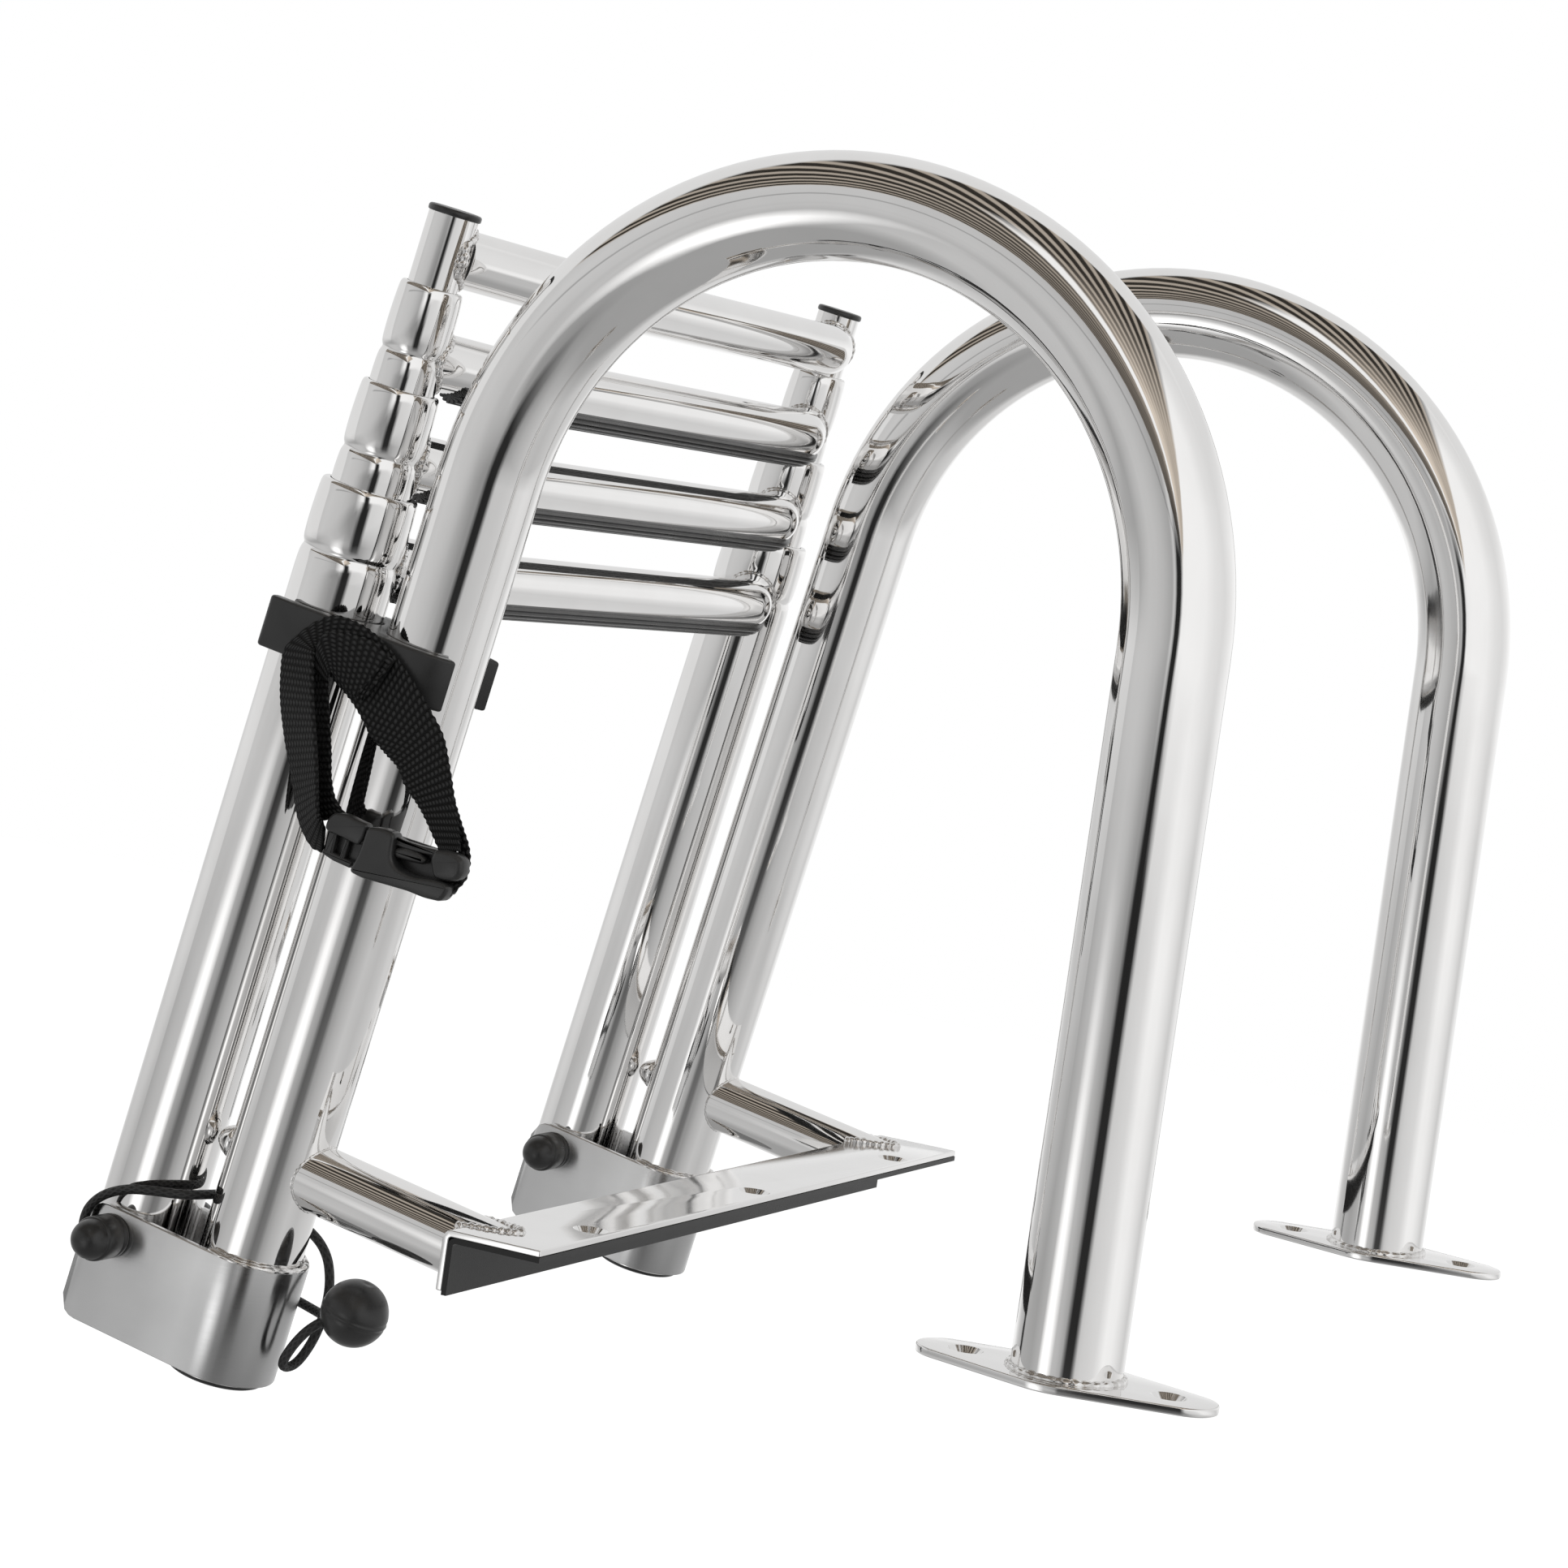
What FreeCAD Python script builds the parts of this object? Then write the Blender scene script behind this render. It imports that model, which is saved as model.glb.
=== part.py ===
# Folding telescopic boarding ladder with two handrail hoops, in millimetres.
# Frame: +Z up, +X to the right hoop, +Y outboard to the water. The deck is the plane z = 0,
# and the origin is the middle of the mounting angle's footprint, under its rubber pad.
import FreeCAD
import Part
import math
import os

V = FreeCAD.Vector
os.makedirs("parts", exist_ok=True)

# Handrail hoops
tube_d = 38.0
tube_wall = 1.5
leg_x = 175.0
deck_leg_y = -211.7
arch_r = 135.3
arch_centre_z = 243.7
lean_deg = 10.4
splay_deg = 2.4

# Deck flanges
flange_t = 3.0
flange_len = 106.5
flange_w = 50.0
flange_end_r = 13.0
flange_pitch = 72.4
flange_hole_r = 3.3
flange_sink_r = 6.2
bead = 3.0
bead_lip = 0.6

# Mounting angle and its pad
hole_pitch = 142.0
hole_y = -9.0
plate_overhang = 21.0
plate_t = 2.5
pad_t = 2.0
plate_deck_edge = -17.0
plate_out_edge = 22.0
plate_drop = 22.0
plate_bend_r = 3.5
plate_hole_r = 3.5
plate_sink_r = 6.5
pad_hole_gap = 0.6
pad_hem = 1.3
pad_bend_r = 1.0

# Stub tubes from the rear legs to the angle
stub_d = 25.0
stub_wall = 1.5
stub_s = 262.0

# Pivot brackets and their bolts, measured down the leg from the end of the arch
pivot_s = 307.0
bracket_t = 3.0
bracket_above_bolt = 10.2
bracket_below_bolt = 35.0
bracket_past_bolt = 12.4
bracket_corner_r = 6.0
leg_below_bracket = 1.0
plug_head = 2.0
plug_inset = 0.4
plug_depth = 14.0
bolt_r = 4.0
pin_clear = 0.05
nut_flats = 12.0
nut_h = 5.5
shank_past_nut = 1.5
cap_collar_r = 8.2
cap_collar_len = 12.6
cap_dome_r = 7.3
cap_len = 20.2

# Ladder sections, from the widest down. The collar's shape is how far below the lip, how far inwards
stile_gap = 8.0
section_d = (37.2, 30.0, 24.4, 18.6)
stile_wall = 1.4
slide_clear = 0.3
lip_t = 2.4
first_lip_h = -18.1
lip_pitch = 38.3
tail = 10.0
bolt_gap = 12.1
collar_shape = (
    (34.0, 0.0),
    (28.5, 0.25),
    (26.6, 0.6),
    (25.9, 1.0),
    (25.1, 1.0),
    (24.4, 0.6),
    (22.5, 0.2),
    (17.0, 0.0),
    (9.0, 0.1),
    (3.0, 0.4),
    (0.8, 0.7),
    (0.0, 1.4),
)
guide_len = 15.0
top_cap_t = 2.6
top_cap_proud = 0.6
top_cap_round = 0.9
top_cap_depth = 12.0

# Rungs and treads
rung_d = 21.6
rung_wall = 1.5
rung_below_lip = 25.8
rung_offset = 22.0
rung_bend_x = 50.0
rung_bend_r = 30.0
stile_past_rung = 5.9
tread_t = 3.2
tread_half_deg = 52.0
tread_gap = 4.0

# Clip that holds the folded stile, on the left rear leg
clip_h = -73.2
clip_tall = 19.0
clip_t = 5.9
clip_mouth = 14.0
clip_mouth_right = 20.0
slot_clear = 0.1
jaw_clear = 0.5
jaw_reach = 13.0

# Dome heads on the rear legs
bumper_r = 6.6
bumper_gap = 0.6
bumper_rim = 1.2
bumper_steps = 8

# Webbing strap sewn round the clip, and its buckle, below the clip's middle
strap_t = 1.6
strap_w = 25.0
tail_w = 20.0
strap_e = 21.0
strap_left_end = (8.0, 62.5)
strap_right_end = (-38.0, 50.5)
buckle_len = 56.0
buckle_w = 17.0
buckle_t = 12.0
buckle_round = 3.6
buckle_mid = (-19.0, 63.0)

# Elastic cord with its ball, looped over the left pivot caps
cord_d = 3.6
ball_r = 12.4
ball_at = (-175.0, -47.8, -302.1)
cord_route = (
    (-199.1, 55.4, -313.0),
    (-199.2, 58.2, -304.5),
    (-198.9, 55.0, -295.5),
    (-197.4, 46.5, -289.0),
    (-196.6, 36.0, -285.5),
    (-190.0, 25.6, -284.0),
    (-178.0, 21.8, -283.5),
    (-164.0, 20.5, -284.0),
    (-152.5, 10.0, -285.5),
    (-150.2, -5.0, -288.0),
    (-155.0, -19.0, -291.5),
    (-163.5, -29.0, -299.0),
    (-169.5, -33.5, -309.0),
    (-171.0, -33.0, -320.5),
    (-173.0, -29.8, -331.0),
    (-180.8, -28.0, -330.4),
    (-181.6, -31.2, -320.0),
    (-179.4, -35.6, -311.0),
    (-176.4, -41.0, -305.8),
)
return_route = (
    (-169.5, -43.0, -306.5),
    (-163.5, -38.5, -311.5),
    (-157.0, -31.0, -314.5),
    (-152.0, -20.5, -315.5),
    (-149.6, -7.0, -315.5),
    (-149.8, 9.0, -315.0),
    (-150.4, 25.0, -315.5),
    (-150.9, 38.5, -318.0),
    (-150.9, 49.5, -319.2),
    (-150.9, 57.0, -313.5),
    (-150.9, 58.0, -304.5),
)

# Sizes that follow from the ones above
lean = math.radians(lean_deg)
leg_r = tube_d / 2.0
stile_e = leg_r + stile_gap + section_d[0] / 2.0
stub_r = stub_d / 2.0
rung_r = rung_d / 2.0
top_y = deck_leg_y + arch_r * (1.0 + math.cos(lean))
top_z = arch_centre_z + arch_r * math.sin(lean)
leg_down = V(0, math.sin(lean), -math.cos(lean))
plate_top = plate_t + pad_t
plate_half = leg_x + plate_overhang
bracket_in = leg_r + pin_clear
bracket_out = bracket_in + bracket_t
bracket_top = bracket_above_bolt - pivot_s
bracket_low = -bracket_below_bolt - pivot_s
leg_end_s = pivot_s + bracket_below_bolt + leg_below_bracket
section_len = first_lip_h + lip_pitch + pivot_s - bolt_r - bolt_gap
sections = len(section_d)

# How deep a seat is eased, and how far a cutting shape runs past what it cuts
seat = 0.02
past = 2.0
far = 600.0


def along_leg(shape):
    """Puts a shape drawn in the leaning frame (x, outboard, up the leg) where the legs are."""
    out = shape.copy()
    out.rotate(V(0, 0, 0), V(1, 0, 0), lean_deg)
    out.translate(V(0, top_y, top_z))
    return out


def block(x0, x1, e0, e1, h0, h1):
    return Part.makeBox(x1 - x0, e1 - e0, h1 - h0, V(x0, e0, h0))


def post(r, x, e, h0, h1):
    return Part.makeCylinder(r, h1 - h0, V(x, e, h0))


def turned(points):
    """Solid of revolution about the upright axis, from radius and height points."""
    wire = Part.makePolygon([V(r, 0, h) for r, h in points + points[:1]])
    return Part.Face(wire).revolve(V(0, 0, 0), V(0, 0, 1), 360)


def swept_disc(wire, start, way, r):
    disc = Part.Wire([Part.makeCircle(r, start, way)])
    return wire.makePipeShell([disc], True, False)


def rounded_path(points, bends):
    """Straight runs joined by tangent arcs, one bend radius for each inner point."""
    edges = []
    here = points[0]
    for k in range(1, len(points) - 1):
        before = (points[k - 1] - points[k]).normalize()
        after = (points[k + 1] - points[k]).normalize()
        half_turn = (math.pi - before.getAngle(after)) / 2.0
        back = bends[k - 1] * math.tan(half_turn)
        first = points[k] + before * back
        last = points[k] + after * back
        inward = (before + after).normalize()
        middle = points[k] + inward * (bends[k - 1] / math.cos(half_turn) - bends[k - 1])
        edges.append(Part.makeLine(here, first))
        edges.append(Part.Arc(first, middle, last).toShape())
        here = last
    edges.append(Part.makeLine(here, points[-1]))
    return Part.Wire(edges)


def splayed(shape, side):
    """Turns a hoop about its own rear leg, so that the deck leg stands wider."""
    out = shape.copy()
    out.rotate(V(side * leg_x, top_y, top_z), leg_down, -side * splay_deg)
    return out


def hoop_rod(side, r):
    x = side * leg_x
    foot = V(x, deck_leg_y, -tube_d)
    shoulder = V(x, deck_leg_y, arch_centre_z)
    crown_way = (math.pi + lean) / 2.0
    crown = V(x, deck_leg_y + arch_r + arch_r * math.cos(crown_way), arch_centre_z + arch_r * math.sin(crown_way))
    meet = V(x, top_y, top_z)
    wire = Part.Wire([
        Part.makeLine(foot, shoulder),
        Part.Arc(shoulder, crown, meet).toShape(),
        Part.makeLine(meet, meet + leg_down * leg_end_s),
    ])
    return splayed(swept_disc(wire, foot, V(0, 0, 1), r), side)


def make_hoop(side):
    solid = hoop_rod(side, leg_r).cut(hoop_rod(side, leg_r - tube_wall))
    return solid.cut(block(-far, far, -far, deck_leg_y + arch_r / 2.0, -far, flange_t))


def foot_line(side):
    """Where the splayed deck leg meets the top of its flange, and its way up from there."""
    leg = Part.makeLine(V(side * leg_x, deck_leg_y, 0), V(side * leg_x, deck_leg_y, arch_centre_z))
    leg = splayed(leg, side)
    low = leg.Vertexes[0].Point
    high = leg.Vertexes[1].Point
    way = (high - low).normalize()
    return low + way * ((flange_t - low.z) / way.z), way


def oval_outline(half_len, mid_r, end_r):
    reach = half_len - end_r
    turn = math.acos((mid_r - end_r) / reach)

    def mid_pt(along, across):
        return V(across * mid_r * math.sin(turn), along * mid_r * math.cos(turn), 0)

    def end_pt(along, across):
        return V(across * end_r * math.sin(turn), along * (reach + end_r * math.cos(turn)), 0)

    return Part.Wire([
        Part.makeLine(mid_pt(1, 1), end_pt(1, 1)),
        Part.Arc(end_pt(1, 1), V(0, half_len, 0), end_pt(1, -1)).toShape(),
        Part.makeLine(end_pt(1, -1), mid_pt(1, -1)),
        Part.Arc(mid_pt(1, -1), V(-mid_r, 0, 0), mid_pt(-1, -1)).toShape(),
        Part.makeLine(mid_pt(-1, -1), end_pt(-1, -1)),
        Part.Arc(end_pt(-1, -1), V(0, -half_len, 0), end_pt(-1, 1)).toShape(),
        Part.makeLine(end_pt(-1, 1), mid_pt(-1, 1)),
        Part.Arc(mid_pt(-1, 1), V(mid_r, 0, 0), mid_pt(1, 1)).toShape(),
    ])


def countersunk(r_hole, r_sink, x, y, z_low, z_top):
    """Drill and cone; a fifth of the sheet at least keeps a straight wall."""
    depth = min(r_sink - r_hole, (z_top - z_low) * 0.8)
    cone = Part.makeCone(r_sink - depth, r_sink, depth, V(x, y, z_top - depth))
    return post(r_hole, x, y, z_low - past, z_top + past).fuse(cone)


def make_flange(side):
    """Oval plate with two countersunk holes, and the weld bead round the leg."""
    foot, way = foot_line(side)
    solid = Part.Face(oval_outline(flange_len / 2.0, flange_w / 2.0, flange_end_r)).extrude(V(0, 0, flange_t))
    for end in (-1, 1):
        solid = solid.cut(countersunk(flange_hole_r, flange_sink_r, 0, end * flange_pitch / 2.0, 0, flange_t))
    solid.translate(V(foot.x, foot.y, 0))
    sunk = flange_t / 2.0
    flare = (bead - bead_lip) / bead * sunk
    weld = Part.makeCone(leg_r + bead + flare, leg_r + bead_lip, bead + sunk, foot - way * sunk, way)
    leg = Part.makeCylinder(leg_r + seat, bead * 4, foot - way * bead, way)
    return solid.fuse(weld).cut(leg.common(block(-far, far, -far, far, flange_t, far)))


def make_leg_plug(side):
    x = side * leg_x
    head = post(leg_r - plug_inset, x, 0, -leg_end_s - plug_head, -leg_end_s)
    insert = post(leg_r - tube_wall - pin_clear, x, 0, -leg_end_s, -leg_end_s + plug_depth)
    return along_leg(head.fuse(insert))


def make_bracket(side):
    """U of folded sheet: its closed end wraps the leg, its cheeks carry the bolt."""
    x = side * leg_x
    reach = stile_e + bracket_past_bolt
    cheeks = block(x - bracket_out, x + bracket_out, 0, reach, bracket_low, bracket_top)
    corners = []
    for edge in cheeks.Edges:
        level = abs(edge.Vertexes[0].X - edge.Vertexes[1].X) > bracket_out
        if level and edge.Vertexes[0].Y > reach / 2.0:
            corners.append(edge)
    body = cheeks.makeFillet(bracket_corner_r, corners)
    body = body.fuse(post(bracket_out, x, 0, bracket_low, bracket_top))
    body = body.cut(post(bracket_in, x, 0, bracket_low - past, bracket_top + past))
    body = body.cut(block(x - bracket_in, x + bracket_in, 0, reach + past, bracket_low - past, bracket_top + past))
    return along_leg(body.cut(cross_rod(bolt_r + pin_clear, x, bracket_out + past)))


def cross_rod(r, x, half):
    """Rod along X through the pivot."""
    return Part.makeCylinder(r, 2 * half, V(x - half, stile_e, -pivot_s), V(1, 0, 0))


def nut(x0, length):
    corner = nut_flats / math.sqrt(3.0)
    points = []
    for k in range(7):
        turn = math.radians(60 * k)
        points.append(V(x0, stile_e + corner * math.cos(turn), corner * math.sin(turn) - pivot_s))
    return Part.Face(Part.makePolygon(points)).extrude(V(length, 0, 0))


def make_pivot_bolt(side):
    x = side * leg_x
    shank = cross_rod(bolt_r, x, bracket_out + nut_h + shank_past_nut)
    return along_leg(shank.fuse([nut(x - bracket_out - nut_h, nut_h), nut(x + bracket_out, nut_h)]))


def make_bolt_cap(side, way):
    """Rubber cap over a nut: a stepped collar and a domed end."""
    dome_base = cap_len - cap_dome_r
    body = post(cap_collar_r, 0, 0, 0, cap_collar_len)
    neck = post(cap_dome_r, 0, 0, cap_collar_len - past, dome_base)
    body = body.fuse([neck, Part.makeSphere(cap_dome_r, V(0, 0, dome_base))])
    nut_space = post(nut_flats / math.sqrt(3.0) + pin_clear, 0, 0, -past, nut_h + slide_clear)
    body = body.cut(nut_space)
    body = body.cut(post(bolt_r + slide_clear, 0, 0, -past, nut_h + shank_past_nut + slide_clear))
    body = body.cut(post(cap_dome_r + past, 0, 0, -cap_len, 0))
    body.rotate(V(0, 0, 0), V(0, 1, 0), 90 * way)
    body.translate(V(side * leg_x + way * bracket_out, stile_e, -pivot_s))
    return along_leg(body)


def angle_section(out_y, top, thick, low_z, outer_r, inner_r):
    """Section of a bent sheet: level leg, bend and hanging leg."""
    in_y = out_y - thick
    under = top - thick
    bend = V(0, out_y - outer_r, top - outer_r)
    slant = math.sqrt(0.5)
    face = Part.Face(Part.Wire([
        Part.makeLine(V(0, plate_deck_edge, under), V(0, plate_deck_edge, top)),
        Part.makeLine(V(0, plate_deck_edge, top), V(0, bend.y, top)),
        Part.Arc(V(0, bend.y, top), bend + V(0, outer_r, outer_r) * slant, V(0, out_y, bend.z)).toShape(),
        Part.makeLine(V(0, out_y, bend.z), V(0, out_y, low_z)),
        Part.makeLine(V(0, out_y, low_z), V(0, in_y, low_z)),
        Part.makeLine(V(0, in_y, low_z), V(0, in_y, bend.z)),
        Part.Arc(V(0, in_y, bend.z), bend + V(0, inner_r, inner_r) * slant, V(0, bend.y, under)).toShape(),
        Part.makeLine(V(0, bend.y, under), V(0, plate_deck_edge, under)),
    ]))
    solid = face.extrude(V(2 * plate_half, 0, 0))
    solid.translate(V(-plate_half, 0, 0))
    return solid


def make_angle():
    low = plate_top - plate_drop
    solid = angle_section(plate_out_edge, plate_top, plate_t, low, plate_bend_r, plate_bend_r - plate_t)
    for k in (-1, 0, 1):
        solid = solid.cut(countersunk(plate_hole_r, plate_sink_r, k * hole_pitch, hole_y, pad_t, plate_top))
    return solid


def make_pad():
    low = plate_top - plate_drop - pad_hem
    inner = plate_out_edge - plate_t
    solid = angle_section(inner, pad_t, pad_t, low, pad_t + pad_bend_r, pad_bend_r)
    for k in (-1, 0, 1):
        solid = solid.cut(post(plate_hole_r + pad_hole_gap, k * hole_pitch, hole_y, -past, pad_t + past))
    return solid


def make_stub(side):
    """Tube from the rear leg, square to it, coped over the outer corner of the angle."""
    x = side * leg_x
    reach = (top_y + stub_s * math.sin(lean) - plate_out_edge) / math.cos(lean) + stub_d
    tube = Part.makeCylinder(stub_r, reach, V(x, -reach, -stub_s), V(0, 1, 0))
    bore = Part.makeCylinder(stub_r - stub_wall, reach + 2 * past, V(x, -reach - past, -stub_s), V(0, 1, 0))
    tube = tube.cut(bore)
    tube = tube.cut(post(leg_r + seat, x, 0, -stub_s - tube_d, -stub_s + tube_d))
    return along_leg(tube).cut(block(-far, far, -far, plate_out_edge + seat, -far, plate_top + seat))


def make_bumper(side):
    """Dome head on the rear leg that the folded stile leans towards."""
    x = side * leg_x
    tall = stile_e - section_d[0] / 2.0 - leg_r - bumper_gap
    points = [(0.0, -bumper_r), (bumper_r, -bumper_r)]
    for n in range(bumper_steps):
        turn = math.pi / 2.0 * n / bumper_steps
        points.append((bumper_r * math.cos(turn), bumper_rim + (tall - bumper_rim) * math.sin(turn)))
    points.append((0.0, tall))
    solid = turned(points)
    solid.rotate(V(0, 0, 0), V(0, 0, 1), 30)
    solid.rotate(V(0, 0, 0), V(1, 0, 0), -90)
    solid.translate(V(x, leg_r, -stub_s))
    return along_leg(solid.cut(post(leg_r + seat, x, 0, -stub_s - tube_d, -stub_s + tube_d)))


def lip_h(k):
    return first_lip_h + k * lip_pitch


def rung_h(k):
    return lip_h(k) - rung_below_lip


def tube_top(k):
    """The three outer tubes end in a lip, the slimmest a little past its rung."""
    if k < sections - 1:
        return lip_h(k)
    return rung_h(k) + rung_r + stile_past_rung - top_cap_t


def tube_low(k):
    return -pivot_s - tail if k == 0 else lip_h(k) - section_len


def stile_profile(k):
    """Half section of a stile tube: open lower end, rolled collar with its groove, turned-in lip."""
    r = section_d[k] / 2.0
    inner = r - stile_wall
    top = tube_top(k)
    low = tube_low(k)
    if k == sections - 1:
        return [(r, low), (r, top), (inner, top), (inner, low)]
    bore = section_d[k + 1] / 2.0 + slide_clear
    collar = [(r - inwards, top - below) for below, inwards in collar_shape]
    return [(r, low)] + collar + [(bore, top), (bore, top - lip_t), (inner, top - lip_t), (inner, low)]


def make_stile(k, side):
    x = side * leg_x
    solid = turned(stile_profile(k))
    solid.translate(V(x, stile_e, 0))
    if k == 0:
        solid = solid.cut(cross_rod(bolt_r + pin_clear, x, tube_d))
    return along_leg(solid)


def make_guides(k):
    """Sliding bushes round the hidden ends of a section's two tubes."""
    low = tube_low(k)
    outer = section_d[k - 1] / 2.0 - stile_wall - slide_clear
    inner = section_d[k] / 2.0
    pair = []
    for side in (-1, 1):
        x = side * leg_x
        bush = post(outer, x, stile_e, low, low + guide_len)
        bush = bush.cut(post(inner, x, stile_e, low - past, low + guide_len + past))
        pair.append(along_leg(bush))
    return Part.makeCompound(pair)


def rung_path(k):
    h = rung_h(k)
    points = [
        V(-leg_x, stile_e, h),
        V(-leg_x + rung_bend_x, stile_e - rung_offset, h),
        V(leg_x - rung_bend_x, stile_e - rung_offset, h),
        V(leg_x, stile_e, h),
    ]
    return rounded_path(points, (rung_bend_r, rung_bend_r)), points[0], (points[1] - points[0]).normalize()


def between_stiles(solid, k, gap):
    """Copes a rung's or tread's ends to the round of its stiles."""
    h = rung_h(k)
    for side in (-1, 1):
        x = side * leg_x
        solid = solid.cut(post(section_d[k] / 2.0 + gap, x, stile_e, h - tube_d, h + tube_d))
        outer = (x - tube_d, x) if side < 0 else (x, x + tube_d)
        solid = solid.cut(block(outer[0], outer[1], stile_e - tube_d, stile_e + tube_d, h - tube_d, h + tube_d))
    return solid


def make_rung(k):
    wire, start, way = rung_path(k)
    solid = swept_disc(wire, start, way, rung_r).cut(swept_disc(wire, start, way, rung_r - rung_wall))
    return along_leg(between_stiles(solid, k, seat))


def make_tread(k):
    """Rubber sleeve half round the rung, on the side that is upwards in use."""
    wire, start, way = rung_path(k)
    across = V(0, 0, 1).cross(way)
    half = math.radians(tread_half_deg)

    def at(r, turn):
        return start + across * (r * math.sin(turn)) - V(0, 0, r * math.cos(turn))

    r_in = rung_r + seat
    r_out = rung_r + tread_t
    section = Part.Wire([
        Part.Arc(at(r_in, -half), at(r_in, 0), at(r_in, half)).toShape(),
        Part.makeLine(at(r_in, half), at(r_out, half)),
        Part.Arc(at(r_out, half), at(r_out, 0), at(r_out, -half)).toShape(),
        Part.makeLine(at(r_out, -half), at(r_in, -half)),
    ])
    solid = wire.makePipeShell([section], True, False)
    return along_leg(between_stiles(solid, k, tread_gap))


def make_top_cap(side):
    x = side * leg_x
    r = section_d[-1] / 2.0
    top = tube_top(sections - 1)
    head = post(r + top_cap_proud, x, stile_e, top, top + top_cap_t)
    rim = max(head.Edges, key=lambda edge: edge.CenterOfMass.z)
    head = head.makeFillet(top_cap_round, [rim])
    insert = post(r - stile_wall - pin_clear, x, stile_e, top - top_cap_depth, top)
    return along_leg(head.fuse(insert))


def make_clip():
    """Double clip: one jaw grips the rear leg, the other is open outboard for the stile."""
    x = -leg_x
    low = clip_h - clip_tall / 2.0
    high = clip_h + clip_tall / 2.0
    grip = leg_r + pin_clear
    out = grip + clip_t
    jaw = section_d[0] / 2.0 + jaw_clear
    tip = stile_e + jaw_reach
    body = post(out, x, 0, low, high).fuse(block(x - out, x + out, 0, tip, low, high))
    body = body.cut(post(grip, x, 0, low - past, high + past))
    body = body.cut(post(jaw, x, stile_e, low - past, high + past))
    body = body.cut(block(x - jaw, x + jaw, stile_e, tip + past, low - past, high + past))
    body = body.cut(block(x - clip_mouth, x + clip_mouth_right, -2 * out, 0, low - past, high + past))
    half = strap_w / 2.0 + slot_clear
    slot = block(slot_x(), slot_x() + strap_t + 2 * slot_clear, strap_e - half, strap_e + half, low - past, high + past)
    return along_leg(body.cut(slot))


def slot_x():
    """Left side of the slot that the strap passes through, just outside the tubes."""
    return -leg_x - leg_r - strap_t - slot_clear


def clip_face():
    """The clip's left face, where the strap lies."""
    return -leg_x - leg_r - pin_clear - clip_t


def flat_band(start, end, width, x, thick):
    """Flat webbing between two (outboard, up) points, in a plane beside the legs."""
    run = V(0, end[0] - start[0], end[1] - start[1])
    side = V(0, -run.z, run.y).normalize() * (width / 2.0)
    a = V(x, start[0], start[1])
    b = V(x, end[0], end[1])
    face = Part.Face(Part.makePolygon([a + side, b + side, b - side, a - side, a + side]))
    return face.extrude(V(-thick, 0, 0))


def make_strap():
    """Webbing sewn round the clip's left arm, with two tails that hang to the buckle."""
    face = clip_face()
    low = clip_h - clip_tall / 2.0
    high = clip_h + clip_tall / 2.0
    back = slot_x() + slot_clear
    half = strap_w / 2.0
    sewn = block(face - strap_t, back + strap_t, strap_e - half, strap_e + half, low - strap_t, high + strap_t)
    body = sewn.cut(block(face, back, strap_e - half - past, strap_e + half + past, low, high))
    start = (strap_e, clip_h)
    for out, drop in (strap_left_end, strap_right_end):
        body = body.fuse(flat_band(start, (out, clip_h - drop), tail_w, face, strap_t))
    return along_leg(body.removeSplitter())


def make_buckle():
    x = clip_face() - strap_t
    e = buckle_mid[0]
    h = clip_h - buckle_mid[1]
    box = block(x - buckle_t, x, e - buckle_len / 2.0, e + buckle_len / 2.0, h - buckle_w / 2.0, h + buckle_w / 2.0)
    rims = [edge for edge in box.Edges if abs(edge.Vertexes[0].Y - edge.Vertexes[1].Y) > buckle_len / 2.0]
    return along_leg(box.makeFillet(buckle_round, rims))


def make_cord(route):
    """Tube of straight runs and tangent arcs, each arc as large as its two runs allow."""
    points = [V(*p) for p in route]
    bends = []
    for k in range(1, len(points) - 1):
        before = points[k - 1] - points[k]
        after = points[k + 1] - points[k]
        turn = math.pi - before.getAngle(after)
        bends.append(0.45 * min(before.Length, after.Length) / math.tan(turn / 2.0))
    wire = rounded_path(points, bends)
    tube = swept_disc(wire, points[0], (points[1] - points[0]).normalize(), cord_d / 2.0)
    share = tube.Volume / (wire.Length * math.pi * cord_d ** 2 / 4.0)
    print("bend radii", [round(r, 1) for r in bends])
    print("length", round(wire.Length, 1), "volume over section times length", round(share, 3))
    return along_leg(tube)


def make_ball():
    return along_leg(Part.makeSphere(ball_r, V(*ball_at)))


def save(name, shape):
    shape.exportStep("parts/" + name + ".step")


for side, word in ((-1, "left"), (1, "right")):
    save("hoop_" + word, make_hoop(side))
    save("deck_flange_" + word, make_flange(side))
    save("leg_plug_" + word, make_leg_plug(side))
    save("pivot_bracket_" + word, make_bracket(side))
    save("pivot_bolt_" + word, make_pivot_bolt(side))
    save("bolt_cap_" + word + "_outer", make_bolt_cap(side, side))
    save("bolt_cap_" + word + "_inner", make_bolt_cap(side, -side))
    save("stub_tube_" + word, make_stub(side))
    save("bumper_" + word, make_bumper(side))
    save("top_cap_" + word, make_top_cap(side))
    for k in range(sections):
        save("stile_" + str(k + 1) + "_" + word, make_stile(k, side))

for k in range(sections):
    save("rung_" + str(k + 1), make_rung(k))
    if k < sections - 1:
        save("tread_" + str(k + 1), make_tread(k))
    if k > 0:
        save("guides_" + str(k + 1), make_guides(k))

save("mounting_angle", make_angle())
save("mounting_pad", make_pad())
save("stile_clip", make_clip())
save("strap", make_strap())
save("strap_buckle", make_buckle())
save("cord", make_cord(cord_route))
save("cord_return", make_cord(return_route))
save("cord_ball", make_ball())
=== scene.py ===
# Folding telescopic boarding ladder with two handrail hoops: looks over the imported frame.
# Routes and profiles are in millimetres, and MM or leg_point turns them into metres.
import bpy
import math
import random
from mathutils import Matrix, Vector


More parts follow.
